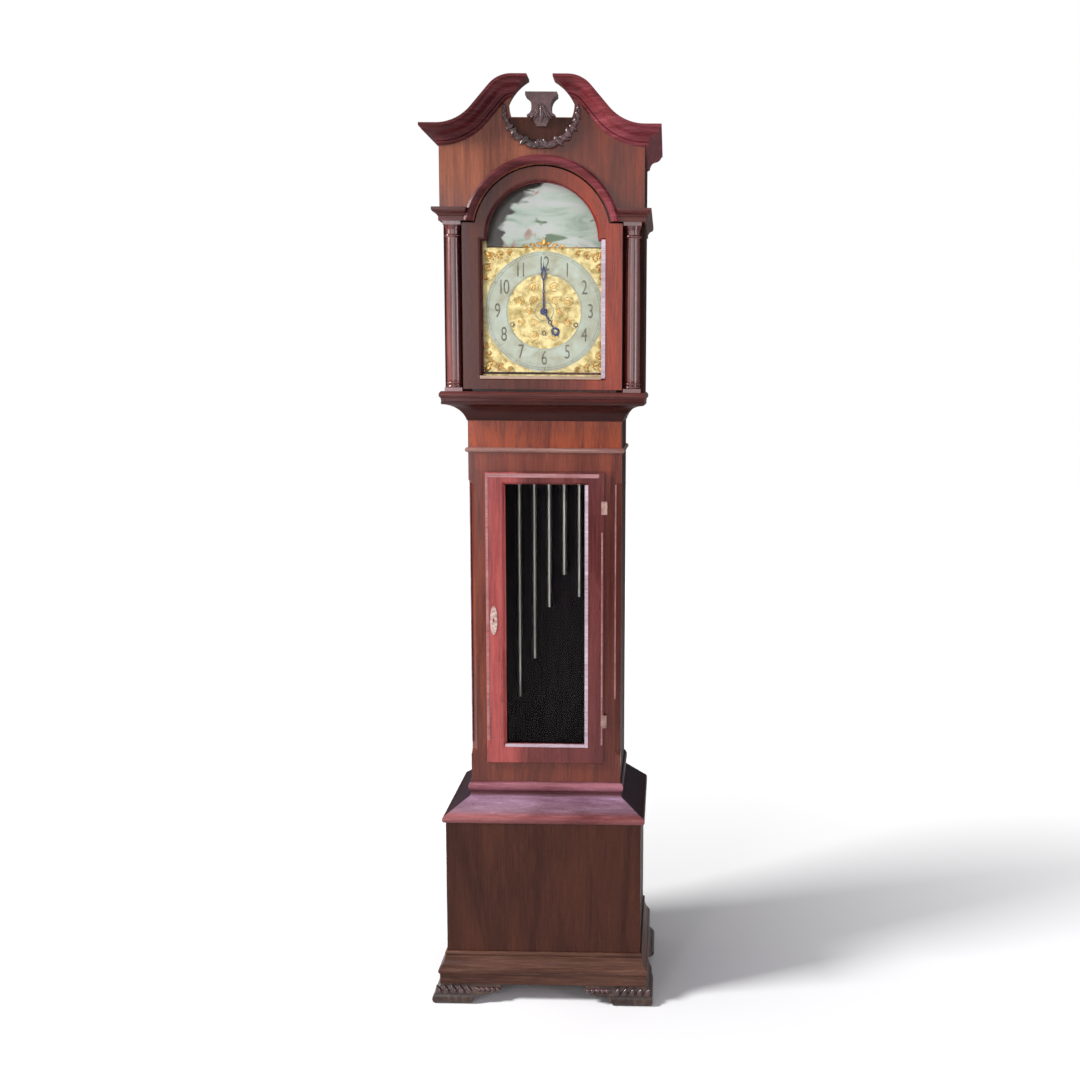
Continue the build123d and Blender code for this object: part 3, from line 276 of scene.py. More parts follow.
# Painted shade: the tympanum turns dark and red over its right half.
hood_stops = [
    (0.0, (0.95, 1, 1)), (0.45, (0.95, 0.9, 0.9)),
    (0.6, (0.52, 0.36, 0.36)), (1.0, (0.72, 0.42, 0.36)),
]
hood_wood = polished_wood(
    "mahogany_hood", (0.085, 0.019, 0.010), (0.22, 0.056, 0.027), (0.36, 0.112, 0.052),
    upright_grain, figure=0.5, tones=("X", -0.24, 0.24, hood_stops),
)
# Painted shade: the hood door and dial mask are dark on the left and full colour on the right.
hood_door_stops = [(0.0, (0.2, 0.24, 0.2)), (0.45, (0.3, 0.34, 0.32)), (1.0, white)]
hood_door_wood = polished_wood(
    "mahogany_hood_door", (0.10, 0.011, 0.006), (0.28, 0.034, 0.016), (0.42, 0.07, 0.028),
    upright_grain, figure=0.45, tones=("X", -0.16, 0.16, hood_door_stops),
)
base_wood = polished_wood(
    "mahogany_base", (0.032, 0.0105, 0.007), (0.058, 0.018, 0.011), (0.09, 0.03, 0.017),
    upright_grain, figure=0.45, gloss=0.1,
)
frieze_wood = polished_wood(
    "mahogany_figured", (0.07, 0.009, 0.004), (0.25, 0.034, 0.010), (0.44, 0.085, 0.018),
    (60, 60, 4), figure=0.4,
)
print("stops across the trunk door:", len(door_stops))

# %% [markdown]
# ## Woods of sides and mouldings
# The sides see less light, and their dark colour is painted shade. They have hardly any polish
# left, so they have little gloss. Mouldings are cut along the board, so their fibres lie level.
# The slope at the foot of the trunk has weathered in streaks, and a tone with many stops along Z
# copies them, together with painted shade in its cove and painted highlights on its bead.

# %% Sides, columns and mouldings
# Painted shade: the side boards are dark.
side_wood_painted_shade = polished_wood(
    "mahogany_side_painted_shade", (0.010, 0.004, 0.004), (0.034, 0.010, 0.008), (0.058, 0.018, 0.013),
    upright_grain, figure=0.5, sheen=0.4, gloss=0.04,
)
column_wood = polished_wood(
    "mahogany_column", (0.04, 0.007, 0.006), (0.13, 0.022, 0.017), (0.22, 0.05, 0.036),
    upright_grain, figure=0.4, sheen=0.18, gloss=0.75,
)
moulding_wood = polished_wood(
    "mahogany_moulding", (0.03, 0.008, 0.008), (0.085, 0.019, 0.015), (0.15, 0.036, 0.027),
    level_grain, figure=0.4, sheen=0.17, gloss=0.2,
)
# Painted shade: a darker copy of the moulding wood, for the shade under the hood.
support_wood_painted_shade = polished_wood(
    "mahogany_support_painted_shade", (0.014, 0.004, 0.004), (0.040, 0.009, 0.007), (0.075, 0.017, 0.013),
    level_grain, figure=0.4, sheen=0.25, gloss=0.12,
)
plinth_wood = polished_wood(
    "mahogany_plinth", (0.03, 0.011, 0.007), (0.085, 0.032, 0.020), (0.18, 0.09, 0.06),
    level_grain, figure=0.4, sheen=0.3, gloss=0.12,
)
astragal_wood = polished_wood(
    "mahogany_astragal", (0.13, 0.05, 0.04), (0.27, 0.13, 0.11), (0.42, 0.24, 0.2),
    level_grain, figure=0.4, sheen=0.25,
)
# Painted shade: the arch moulding, swan necks and hood glass bead darken towards the left.
neck_wood = polished_wood(
    "mahogany_neck", (0.07, 0.010, 0.012), (0.17, 0.024, 0.028), (0.33, 0.08, 0.10),
    level_grain, figure=0.4, sheen=0.32, gloss=0.12,
    tones=("X", -0.12, 0.12, [(0.0, (0.5, 0.55, 0.5)), (1.0, white)]),
)
# Painted light and shade on the trunk's foot moulding: dark stops for the cove and the line above
# the bead, bright stops for the highlight on the bead, and pale lilac on the slope for weathered
# streaks and a painted reflection. Past its mitres the returns get painted shade.
slope_stops = [
    (0.0, (0.72, 0.42, 0.36)), (0.2, (0.9, 0.5, 0.42)), (0.3, (0.78, 0.78, 0.84)),
    (0.55, (0.85, 0.82, 1)), (0.62, (0.35, 0.2, 0.2)), (0.72, (0.42, 0.24, 0.24)),
    (0.8, (1.1, 0.74, 0.76)), (0.95, (1.05, 0.7, 0.7)), (1.0, (0.5, 0.3, 0.3)),
]
slope_wood = polished_wood(
    "mahogany_weathered_and_painted_light", (0.13, 0.06, 0.075), (0.25, 0.125, 0.15), (0.46, 0.30, 0.36),
    (1.6, 1.6, 26), figure=0.5, sheen=0.3, gloss=0.12,
    tones=("Z", 0.47, 0.558, slope_stops), mitre=0.1121,
)
print("stops on the weathered slope:", len(slope_stops))

# %% [markdown]
# ## Woods of carving, slips and feet
# Carving gets a grain that is alike in all directions, because it is cut through the fibres.
# Pale strips on the arrises of the trunk door and on the trunk's chamfers are painted highlights,
# where the polished edges catch the light, and the slips round the glass are pale. Making the
# whole front paler would lose the contrast, so these finishes are kept for thin strips of their
# own.

# %% Carving, pale slips, painted highlights and feet
carved_wood = polished_wood(
    "mahogany_carved", (0.02, 0.008, 0.008), (0.07, 0.027, 0.027), (0.15, 0.07, 0.08),
    (8, 8, 8), figure=0.3, sheen=0.16, gloss=0.5,
)
# Painted highlight for the door's arrises and the right chamfer.
painted_highlight_wood = polished_wood(
    "mahogany_painted_highlight", (0.18, 0.055, 0.05), (0.34, 0.14, 0.14), (0.50, 0.27, 0.27),
    level_grain, figure=0.4, sheen=0.3, gloss=0.4,
)
# Pale slips, and the painted highlight on the left chamfer.
pale_slip_and_highlight_wood = polished_wood(
    "mahogany_pale_slip_and_highlight", (0.30, 0.19, 0.22), (0.50, 0.38, 0.44), (0.74, 0.62, 0.70),
    level_grain, figure=0.4, sheen=0.3, gloss=0.4,
)
tan_wood = polished_wood(
    "tan_slip", (0.24, 0.14, 0.09), (0.44, 0.30, 0.21), (0.60, 0.44, 0.32),
    level_grain, figure=0.4, sheen=0.3, gloss=0.3,
)
# Painted shade: a dark band about 2 cm up the foot, in the crease between the rows of toes.
foot_stops = [(0.0, white), (0.42, white), (0.5, (0.3, 0.3, 0.3)), (0.6, white), (1.0, white)]
foot_wood = polished_wood(
    "mahogany_foot", (0.010, 0.004, 0.003), (0.038, 0.017, 0.012), (0.14, 0.085, 0.062),
    (9, 9, 2.4), figure=0.25, sheen=0.25, gloss=0.3, tones=("Z", 0.0, 0.046, foot_stops),
)
print("mahogany finishes:", sum(m.name.startswith("mahogany_") for m in bpy.data.materials))

# %% [markdown]
# ## Plain oak
# The boards that nobody sees are oak without polish, so one fibre noise and a dull surface are
# enough. Inside the trunk the backboard is painted nearly black with a blue cast, as the shade
# inside the case, and outside it is bare. It is one solid, so a tone through its thickness darkens
# its inner face alone.


# %% Oak finishes
def plain_oak(name, dark, light, inside=None):
    """Unpolished oak, which may carry painted shade inside."""
    finish, tree, shader = new_finish(name)
    fibres = object_noise(tree, (30, 30, 1.5), 8.0, detail=5.0, roughness=0.6, distortion=0.3)
    colour = ramp(tree, fibres, [(0.3, dark), (0.7, light)])
    if inside:
        colour = blend_colours(tree, 1.0, colour, tone(tree, *inside), "MULTIPLY")
    tree.links.new(colour, shader.inputs["Base Color"])
    shader.inputs["Roughness"].default_value = 0.72
    shader.inputs["Specular IOR Level"].default_value = 0.1
    bump(tree, shader, fibres, strength=0.1, distance=0.0003)
    return finish


board_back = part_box("backboard")[1].y
inside_shade_stops = [(0.0, (0.13, 0.17, 0.33)), (1.0, white)]
inside_shade = ("Y", board_back - 0.008, board_back - 0.002, inside_shade_stops)
back_oak = plain_oak("oak_back", (0.075, 0.042, 0.026), (0.20, 0.12, 0.075), inside_shade)
oak = plain_oak("plain_oak", (0.055, 0.03, 0.02), (0.14, 0.085, 0.055))
print("backboard ends at y =", round(board_back, 4))

# %% [markdown]
# ## Metals
# Metals differ in tone, in roughness and in how their surface is worked. Cast and matted
# brass is grainy, hands are smooth blued steel, and tubes have faint lines along them. One
# function with these as its arguments makes them all, and a mottle keeps each from looking
# like a perfect mirror.


# %% Metal finishes
def metal(
    name, light, dark, roughness, scale=60.0, stretch=(1, 1, 1), relief=0.05, depth=0.0002
):
    """A metal with a mottled tone and a fine surface."""
    finish, tree, shader = new_finish(name)
    mottle = object_noise(tree, stretch, scale, detail=4.0, roughness=0.6, distortion=0.2)
    colour = ramp(tree, mottle, [(0.32, dark), (0.62, light)])
    tree.links.new(colour, shader.inputs["Base Color"])
    shader.inputs["Metallic"].default_value = 1.0
    rough = ramp(tree, mottle, [(0.3, (roughness + 0.12,) * 3), (0.7, (roughness,) * 3)])
    tree.links.new(rough, shader.inputs["Roughness"])
    bump(tree, shader, mottle, relief, depth)
    return finish


brass = metal("lacquered_brass", (0.72, 0.50, 0.20), (0.44, 0.28, 0.10), 0.28, 40)
gilt = metal(
    "gilt_matted", (0.74, 0.62, 0.31), (0.36, 0.26, 0.09), 0.4, 75, relief=0.35, depth=0.0005
)
cast_gilt = metal(
    "gilt_cast", (0.98, 0.62, 0.20), (0.50, 0.22, 0.04), 0.34, 90, relief=0.4, depth=0.0006
)
plated = metal("nickel_plate", (0.62, 0.60, 0.55), (0.30, 0.29, 0.28), 0.32, 30, (20, 20, 0.6))
steel = metal("polished_steel", (0.55, 0.55, 0.57), (0.32, 0.32, 0.34), 0.25, 50)
aged = metal("aged_brass", (0.46, 0.30, 0.26), (0.22, 0.12, 0.10), 0.36, 60)
pale_brass = metal("worn_pale_brass", (0.66, 0.52, 0.46), (0.30, 0.17, 0.15), 0.34, 160)
blued = metal("blued_steel", (0.06, 0.07, 0.13), (0.03, 0.03, 0.05), 0.22, 50)
metals = (brass, gilt, cast_gilt, plated, steel, aged, pale_brass, blued)
print("metals:", [finish.name for finish in metals])

# %% [markdown]
# ## Silvered ring and its black filling
# A chapter ring is silvered by rubbing, which leaves a dull grey-green film that hardly
# mirrors. As a full metal it would go dark wherever the room is dark, so it is only partly
# metallic. Numerals are engraved and filled with black wax. From the camera's distance the
# filling reads as a soft dark grey.


# %% Silver and wax
def silvered():
    """Silvered brass with a grey-green tone and warm worn spots."""
    finish, tree, shader = new_finish("silvered_brass")
    cloud = object_noise(tree, (1, 1, 1), 22.0, detail=5.0, roughness=0.6, distortion=0.6)
    stops = [(0.3, (0.48, 0.47, 0.32)), (0.5, (0.62, 0.66, 0.52)), (0.7, (0.70, 0.79, 0.68))]
    tree.links.new(ramp(tree, cloud, stops), shader.inputs["Base Color"])
    shader.inputs["Metallic"].default_value = 0.3
    shader.inputs["Roughness"].default_value = 0.42
    fine = object_noise(tree, (1, 1, 1), 500.0, detail=2.0, roughness=0.5)
    bump(tree, shader, fine, strength=0.15, distance=0.0002)
    return finish


def black_wax():
    """The filling of engraved numerals."""
    finish, tree, shader = new_finish("black_wax")
    cloud = object_noise(tree, (1, 1, 1), 90.0, detail=3.0, roughness=0.5)
    stops = [(0.3, (0.18, 0.17, 0.12)), (0.7, (0.34, 0.33, 0.25))]
    tree.links.new(ramp(tree, cloud, stops), shader.inputs["Base Color"])
    shader.inputs["Roughness"].default_value = 0.5
    return finish


silver, wax = silvered(), black_wax()
print("dial finishes:", silver.name, wax.name)

# %% [markdown]
# ## Old glass
# A glass shader would bend light through both faces of each pane, and would take many rays to
# stay clear. A thin pane hardly bends anything, so a transparent shader is mixed with a
# glossy one by the Fresnel effect: straight through from the front, and shiny at a glance.


# %% Glass
def pane():
    """Thin clear glass that passes straight light and keeps its shine."""
    finish, tree, _ = new_finish("old_glass")
    clear = add_node(tree, "ShaderNodeBsdfTransparent", Color=(0.985, 0.99, 0.985, 1))
    shine = add_node(tree, "ShaderNodeBsdfGlossy", Roughness=0.03)
    edge = add_node(tree, "ShaderNodeFresnel", IOR=1.16)
    mixed = add_node(tree, "ShaderNodeMixShader")
    tree.links.new(edge.outputs["Fac"], mixed.inputs["Fac"])
    tree.links.new(clear.outputs["BSDF"], mixed.inputs[1])
    tree.links.new(shine.outputs["BSDF"], mixed.inputs[2])
    tree.links.new(mixed.outputs["Shader"], tree.nodes["Material Output"].inputs["Surface"])
    return finish


glass = pane()
print("glass:", glass.name)

# %% [markdown]
# ## Dress the solids
# Each solid keeps its shape and only changes its finish, so the calls below pair nodes with
# what they are made of. The finish goes on the object's slot and not on the mesh, so that a
# mesh which two pieces share could still be dressed twice.


# %% Give each solid its finish
def dress(finish, *names):
    """Put one finish on the material slots of some solids."""
    for name in names:
        for place in nodes[name].material_slots:
            place.link = "OBJECT"
            place.material = finish


sides = [f"{part}_side_{hand}" for part in ("trunk", "hood", "base") for hand in ("left", "right")]
bells = [f"bell_tube_{number}" for number in range(1, 6)]
hammers = [f"hammer_{number}" for number in range(1, 6)]
barrels = ["strike_barrel", "time_barrel", "chime_barrel"]
dress(trunk_wood, "trunk_front_frame")
dress(trunk_door_wood, "trunk_door_frame")
dress(side_wood_painted_shade, *sides)
dress(hood_wood, "tympanum_board")
dress(hood_door_wood, "hood_door_frame", "dial_mask")
dress(base_wood, "base_front_panel")
dress(plinth_wood, "base_moulding")
dress(foot_wood, "bracket_feet")
dress(support_wood_painted_shade, "hood_support_moulding")
dress(moulding_wood, "hood_base", "entablature")
dress(slope_wood, "trunk_foot_moulding")
dress(astragal_wood, "trunk_astragal")
dress(neck_wood, "arch_moulding", "swan_neck_left", "swan_neck_right")
dress(column_wood, "column_left", "column_right")
dress(carved_wood, "carved_crescent", "finial_plinth")
dress(back_oak, "backboard")
dress(oak, "base_floor", "seatboard", "hood_top_board")
dress(gilt, "dial_plate")
dress(silver, "chapter_ring")
dress(brass, "movement_front_plate", "movement_back_plate", "motion_wheel", *barrels)
dress(brass, "escape_wheel", "chime_drum", "pendulum", "tube_rack")
dress(aged, "trunk_door_hinges")
dress(pale_brass, "trunk_door_escutcheon")
dress(blued, "minute_hand", "hour_hand")
dress(steel, "anchor", "lock_bolt", *hammers)
dress(plated, *bells)
dress(glass, "hood_door_glass", "trunk_door_glass")
print("solids dressed:", len(nodes))

# %% [markdown]
# ## Turning a bmesh into a piece
# New trim is shaped as a bmesh, which holds points and faces while they are worked on. A
# finished piece keeps its place in its mesh and leaves its object at the origin, so that
# Object coordinates mean the same everywhere. The helper welds doubled points first and only
# then sends the normals outwards, because loose faces have no outside.


# %% Helpers that finish and place a piece
def make_piece(name, shape, finish, body, smooth=True):
    """Turn a bmesh into an object that rides on one body."""
    bmesh.ops.remove_doubles(shape, verts=shape.verts, dist=1e-6)
    bmesh.ops.recalc_face_normals(shape, faces=shape.faces)
    mesh = bpy.data.meshes.new(name)
    shape.to_mesh(mesh)
    shape.free()
    for face in mesh.polygons:
        face.use_smooth = smooth
    mesh.materials.append(finish)
    piece = bpy.data.objects.new(name, mesh)
    bpy.context.scene.collection.objects.link(piece)
    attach(piece, body)
    print(name, "faces:", len(mesh.polygons))


def join_shape(shape, part):
    """Copy a small bmesh into a bigger one and let the small one go."""
    mesh = bpy.data.meshes.new("part")
    part.to_mesh(mesh)
    part.free()
    shape.from_mesh(mesh)
    bpy.data.meshes.remove(mesh)


def seen_from_front(x, y, z, angle=0.0):
    """A frame that stands upright, faces the viewer and is turned clockwise by an angle."""
    turned = Matrix.Rotation(angle, 4, "Y") @ Matrix.Rotation(pi / 2, 4, "X")
    return Matrix.Translation((x, y, z)) @ turned


print("helpers: make_piece, join_shape, seen_from_front")

# %% [markdown]
# ## Figured veneers
# Two panels across the trunk are faced with a redder, livelier cut of mahogany. A change of
# colour on the frame alone would show no edge, and a veneer has one. It is thinner than a
# millimetre, so each is a flat box just proud of the frame, with its edges eased by a bevel.


# %% Veneers on the trunk
def veneer(name, low, high, finish, body):
    """A thin sheet between two corners, with eased edges."""
    shape = bmesh.new()
    size = Vector(high) - Vector(low)
    place = Matrix.Translation((Vector(low) + Vector(high)) / 2) @ Matrix.Diagonal((*size, 1))
    bmesh.ops.create_cube(shape, size=1, matrix=place)
    bmesh.ops.bevel(
        shape, geom=shape.edges[:], offset=0.0002,
        affect="EDGES", segments=1, profile=0.5, material=-1,
    )
    make_piece(name, shape, finish, body, smooth=False)


veneer_depth = 0.0006
trunk_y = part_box("trunk_front_frame")[0].y
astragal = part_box("trunk_astragal")
support_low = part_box("hood_support_moulding")[0].z
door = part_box("trunk_door_frame")
veneer(
    "frieze_veneer",
    (-0.19, trunk_y - veneer_depth, astragal[1].z), (0.19, trunk_y, support_low),
    frieze_wood, "case",
)
veneer(
    "top_rail_veneer",
    (-0.176, trunk_y - veneer_depth, door[1].z + 0.003), (0.176, trunk_y, astragal[0].z),
    rail_wood, "case",
)
print("frieze height:", round(support_low - astragal[1].z, 4))

# %% [markdown]
# ## Numerals
# The ring carries twelve plain numerals, which all stand upright. Cutting them into the ring
# would ask for a boolean on a curved edge, and they show only as dark strokes, so they are
# text a fraction of a millimetre proud. The text is made a mesh at once, because a text
# object can't hold its place in its points.

# %% Numerals
dial_z = 1.7555
ring_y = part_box("chapter_ring")[0].y
numeral_radius, numeral_size = 0.114, 0.044
narrow_and_tall = Matrix.Diagonal((0.72, 1.12, 1.0, 1.0))
numerals = bmesh.new()
for hour in range(1, 13):
    words = bpy.data.curves.new("numeral", "FONT")
    words.body = str(hour)
    words.size = numeral_size
    words.align_x = "CENTER"
    words.align_y = "CENTER"
    words.extrude = 0.0002
    words.space_character = 0.85
    holder = bpy.data.objects.new("numeral", words)
    flat = bpy.data.meshes.new_from_object(holder)
    bpy.data.objects.remove(holder)
    angle = radians(30 * hour)
    x, z = numeral_radius * sin(angle), dial_z + numeral_radius * cos(angle)
    flat.transform(seen_from_front(x, ring_y - 0.0003, z) @ narrow_and_tall)
    numerals.from_mesh(flat)
make_piece("hour_numerals", numerals, wax, "case", smooth=False)

# %% [markdown]
# ## Minute track
# Sixty short bars, longer at each fifth, stand between fine engraved circles. The bars are
# boxes turned about the dial's centre. A circle of wire could be a torus, but bmesh has none,
# so a small circle is spun right round and merged where it meets itself.


# %% Minute track
def hoop(shape, centre, radius, thickness, y, corners, steps, flatten=1.0):
    """A closed ring of wire that faces the viewer."""
    part = bmesh.new()
    bmesh.ops.create_circle(part, segments=corners, radius=thickness)
    stand = Matrix.Translation((radius, 0, 0)) @ Matrix.Rotation(pi / 2, 4, "X")
    bmesh.ops.transform(part, matrix=stand, verts=part.verts)
    bmesh.ops.spin(
        part, geom=part.verts[:] + part.edges[:], axis=(0, 0, 1), cent=(0, 0, 0),
        angle=2 * pi, steps=steps, use_merge=True,
    )
    place = seen_from_front(centre[0], y, centre[1]) @ Matrix.Diagonal((1, 1, flatten, 1))
    bmesh.ops.transform(part, matrix=place, verts=part.verts)
    join_shape(shape, part)


track_outer = 0.1415
track = bmesh.new()
for minute in range(60):
    angle = radians(6 * minute)
    width, height = (0.0013, 0.0055) if minute % 5 == 0 else (0.0006, 0.0035)
    middle = track_outer - height / 2
    x, z = middle * sin(angle), dial_z + middle * cos(angle)
    size = Matrix.Diagonal((width, height, 0.0003, 1))
    place = seen_from_front(x, ring_y - 0.0002, z, angle)
    bmesh.ops.create_cube(track, size=1, matrix=place @ size)
for radius in (0.1362, 0.1418, 0.0925):
    hoop(track, (0, dial_z), radius, 0.00035, ring_y, corners=6, steps=96)
make_piece("minute_track", track, wax, "case", smooth=False)

# %% [markdown]
# ## Scrolls and leaves
# Castings and carvings of this style are put together from two motifs. A C-scroll is a small
# circle spun through part of a turn. A leaf is a sphere whose points are pulled to a blade
# and pinched along a rib. Sculpted ones would be heavy, and these are light enough to repeat.


# %% Helpers for ornament
def scroll(shape, centre, radius, start, sweep, thickness, y):
    """A C-scroll: a small circle spun through part of a turn, facing the viewer."""
    part = bmesh.new()
    bmesh.ops.create_circle(part, segments=8, radius=thickness, cap_ends=True)
    stand = Matrix.Translation((radius, 0, 0)) @ Matrix.Rotation(pi / 2, 4, "X")
    bmesh.ops.transform(part, matrix=Matrix.Rotation(start, 4, "Z") @ stand, verts=part.verts)
    steps = max(6, int(abs(sweep) * 6))
    bmesh.ops.spin(
        part, geom=part.faces[:], axis=(0, 0, 1), cent=(0, 0, 0), angle=sweep, steps=steps
    )
    place = seen_from_front(centre[0], y, centre[1]) @ Matrix.Diagonal((1, 1, 0.8, 1))
    bmesh.ops.transform(part, matrix=place, verts=part.verts)
    join_shape(shape, part)


def leaf(shape, x, z, y, length, width, angle, thickness=0.0025):
    """A leaf bud: a sphere drawn out to a blade and pinched along its rib."""
    made = bmesh.ops.create_uvsphere(shape, u_segments=10, v_segments=7, radius=1.0)
    for vert in made["verts"]:
        along = (vert.co.y + 1) / 2
        vert.co.x *= 0.35 + 0.65 * sin(pi * min(1.0, 0.15 + along))
        vert.co.z *= 0.6 + 0.4 * abs(vert.co.x)
    size = Matrix.Diagonal((width / 2, length / 2, thickness, 1))
    place = seen_from_front(x, y, z, angle) @ size
    bmesh.ops.transform(shape, matrix=place, verts=made["verts"])


print("helpers: scroll, leaf")

# %% [markdown]
# ## Cast spandrels
# Gilt castings fill the corners of the square. From a distance they are small bright lumps,
# so what counts is broken relief and a triangular outline. Each corner gets five scrolls,
# which shrink outwards, with three leaves on each. A random turn of the leaves keeps the
# corners from looking stamped.

# %% Spandrels
dial_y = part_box("dial_plate")[0].y
corner_reach, plate_reach = 0.126, 0.147
spandrel_steps = ((0.0, 0.0), (0.021, 1.0), (-0.021, -1.0), (0.041, 1.4), (-0.041, -1.4))
spandrels = bmesh.new()
for side in (-1, 1):
    for rise in (-1, 1):
        corner = Vector((side * corner_reach, dial_z + rise * corner_reach))
        inward = Vector((-side, -rise)).normalized()
        along = Vector((side, -rise)).normalized()
        for step, bend in spandrel_steps:
            spot = corner + along * step - inward * (0.006 - abs(step) * 0.62)
            spot = Vector((max(-plate_reach, min(plate_reach, spot.x)), spot.y))
            size = 0.0105 - abs(step) * 0.11
            sweep = 4.4 if bend >= 0 else -4.4
            scroll(spandrels, spot, size, bend, sweep, 0.0019, dial_y - 0.002)
            first_turn = random.uniform(0, 2 * pi)
            for arm in range(3):
                angle = first_turn + arm * 2.1
                x = spot.x + size * 0.5 * sin(angle)
                z = spot.y + size * 0.5 * cos(angle)
                leaf(spandrels, x, z, dial_y - 0.0022, size * 1.3, size * 0.55, angle)
        x, z = corner.x + side * 0.013, corner.y + rise * 0.013
        leaf(spandrels, x, z, dial_y - 0.0025, 0.02, 0.012, side * rise * pi / 4)
make_piece("spandrels", spandrels, cast_gilt, "case")

# %% [markdown]
# ## Dial centre
# Inside the ring the plate is chased with scrolls, and turned collars guard the hands and the
# three winding holes. Chasing shows as no more than a broken shine, so two circles of eight
# thin scrolls are enough. One that would cover a hole is left out. Collars are flat hoops.

# %% Chased centre and collars
winding_holes = ((-0.078, 1.7235), (0.078, 1.7235), (0, 1.7035))
hole_clearance = 0.016
chasing = bmesh.new()
for radius, size, offset in ((0.064, 0.0105, pi / 8), (0.038, 0.0085, 0)):
    for number in range(8):
        angle = 2 * pi * number / 8 + offset
        spot = (radius * sin(angle), dial_z + radius * cos(angle))
        if min(abs(spot[0] - x) + abs(spot[1] - z) for x, z in winding_holes) > hole_clearance:
            y = dial_y - 0.0004
            scroll(chasing, spot, size, angle, 4.8, 0.0009, y)
            scroll(chasing, spot, size * 0.45, -angle, 5.2, 0.0008, y)
            leaf(chasing, *spot, y, size * 1.6, size * 0.5, angle + 0.8, 0.001)
make_piece("chased_centre", chasing, cast_gilt, "case")

collars = bmesh.new()
for centre in winding_holes:
    hoop(collars, centre, 0.0068, 0.0011, dial_y - 0.0003, corners=8, steps=37, flatten=0.8)
hoop(collars, (0, dial_z), 0.0225, 0.0011, dial_y - 0.0003, corners=8, steps=37, flatten=0.8)
make_piece("dial_collars", collars, silver, "case")

# %% [markdown]
# ## Paint of the arch
# The arch of the dial holds a painted disc in pale greens. The painting here is a design of its
# own: soft bands of cloud, darker tufts, a few warm touches and, at the upper left, a dark bank
# that is partly painted leaves and partly the painted shadow of the hood's arch. All of it is
# noise, and the bank's edge is a distance made ragged by the noise of the tufts.


# %% Paint finish
def painted(bank_from, bank_radius):
    """Pale painted ground with tufts, warm touches and a dark bank past a distance, partly leaves
    and partly painted shadow.
    """
    finish, tree, shader = new_finish("painted_arch")
    sky = object_noise(tree, (9, 9, 26), 1.0, detail=4.0, distortion=1.0)
    pale_stops = [(0.32, (0.40, 0.55, 0.42)), (0.46, (0.78, 0.92, 0.78)), (0.6, (0.96, 1.0, 0.94))]
    tufts = object_noise(tree, (14, 14, 34), 1.0, detail=2.0, roughness=0.5, distortion=0.6)
    blush = object_noise(tree, (20, 20, 20), 1.0, detail=2.0, roughness=0.5, distortion=0.3)
    tuft_mask = ramp(tree, tufts, [(0.60, (0, 0, 0)), (0.66, white)])
    blush_mask = ramp(tree, blush, [(0.66, (0, 0, 0)), (0.72, white)])
    colour = ramp(tree, sky, pale_stops)
    colour = blend_colours(tree, tuft_mask, colour, (0.20, 0.30, 0.17, 1))
    colour = blend_colours(tree, blush_mask, colour, (0.62, 0.36, 0.28, 1))

    place = add_node(tree, "ShaderNodeTexCoord")
    reach = add_node(tree, "ShaderNodeVectorMath", operation="DISTANCE")
    reach.inputs[1].default_value = bank_from
    ragged = add_node(tree, "ShaderNodeMath", operation="MULTIPLY_ADD")
    ragged.inputs[1].default_value = 0.09
    bank_end = bank_radius + 0.01
    edge = add_node(tree, "ShaderNodeMapRange", From_Min=bank_radius, From_Max=bank_end)
    tree.links.new(place.outputs["Object"], reach.inputs[0])
    tree.links.new(tufts, ragged.inputs[0])
    tree.links.new(reach.outputs["Value"], ragged.inputs[2])
    tree.links.new(ragged.outputs["Value"], edge.inputs["Value"])
    # The dark bank: painted leaves, and the painted shadow that the hood's arch casts on the disc.
    colour = blend_colours(tree, edge.outputs["Result"], colour, (0.035, 0.024, 0.018, 1))
    tree.links.new(colour, shader.inputs["Base Color"])
    shader.inputs["Roughness"].default_value = 0.32
    shader.inputs["Coat Weight"].default_value = 0.1
    return finish


arch_paint = painted(bank_from=(0.05, dial_y, 1.915), bank_radius=0.198)
print("paint:", arch_paint.name)

# %% [markdown]
# ## Disc and crest of the arch
# The disc shows only above the square of the dial, so a full circle is cut off along its foot
# and given a sheet's thickness. A half circle drawn point by point would do too, but the cut
# says plainly where the foot is. A low gilt crest of scrolls covers the joint.

# %% Painted disc and crest
arch_z, arch_foot = 1.924, 1.9095
arch = bmesh.new()
facing = seen_from_front(0, dial_y - 0.0008, arch_z)
bmesh.ops.create_circle(arch, segments=96, radius=0.1405, cap_ends=True, matrix=facing)
bmesh.ops.bisect_plane(
    arch, geom=arch.verts[:] + arch.edges[:] + arch.faces[:],
    plane_co=(0, 0, arch_foot), plane_no=(0, 0, -1), clear_outer=True,
)
bmesh.ops.solidify(arch, geom=arch.faces[:], thickness=0.0006)
make_piece("painted_arch", arch, arch_paint, "case", smooth=False)

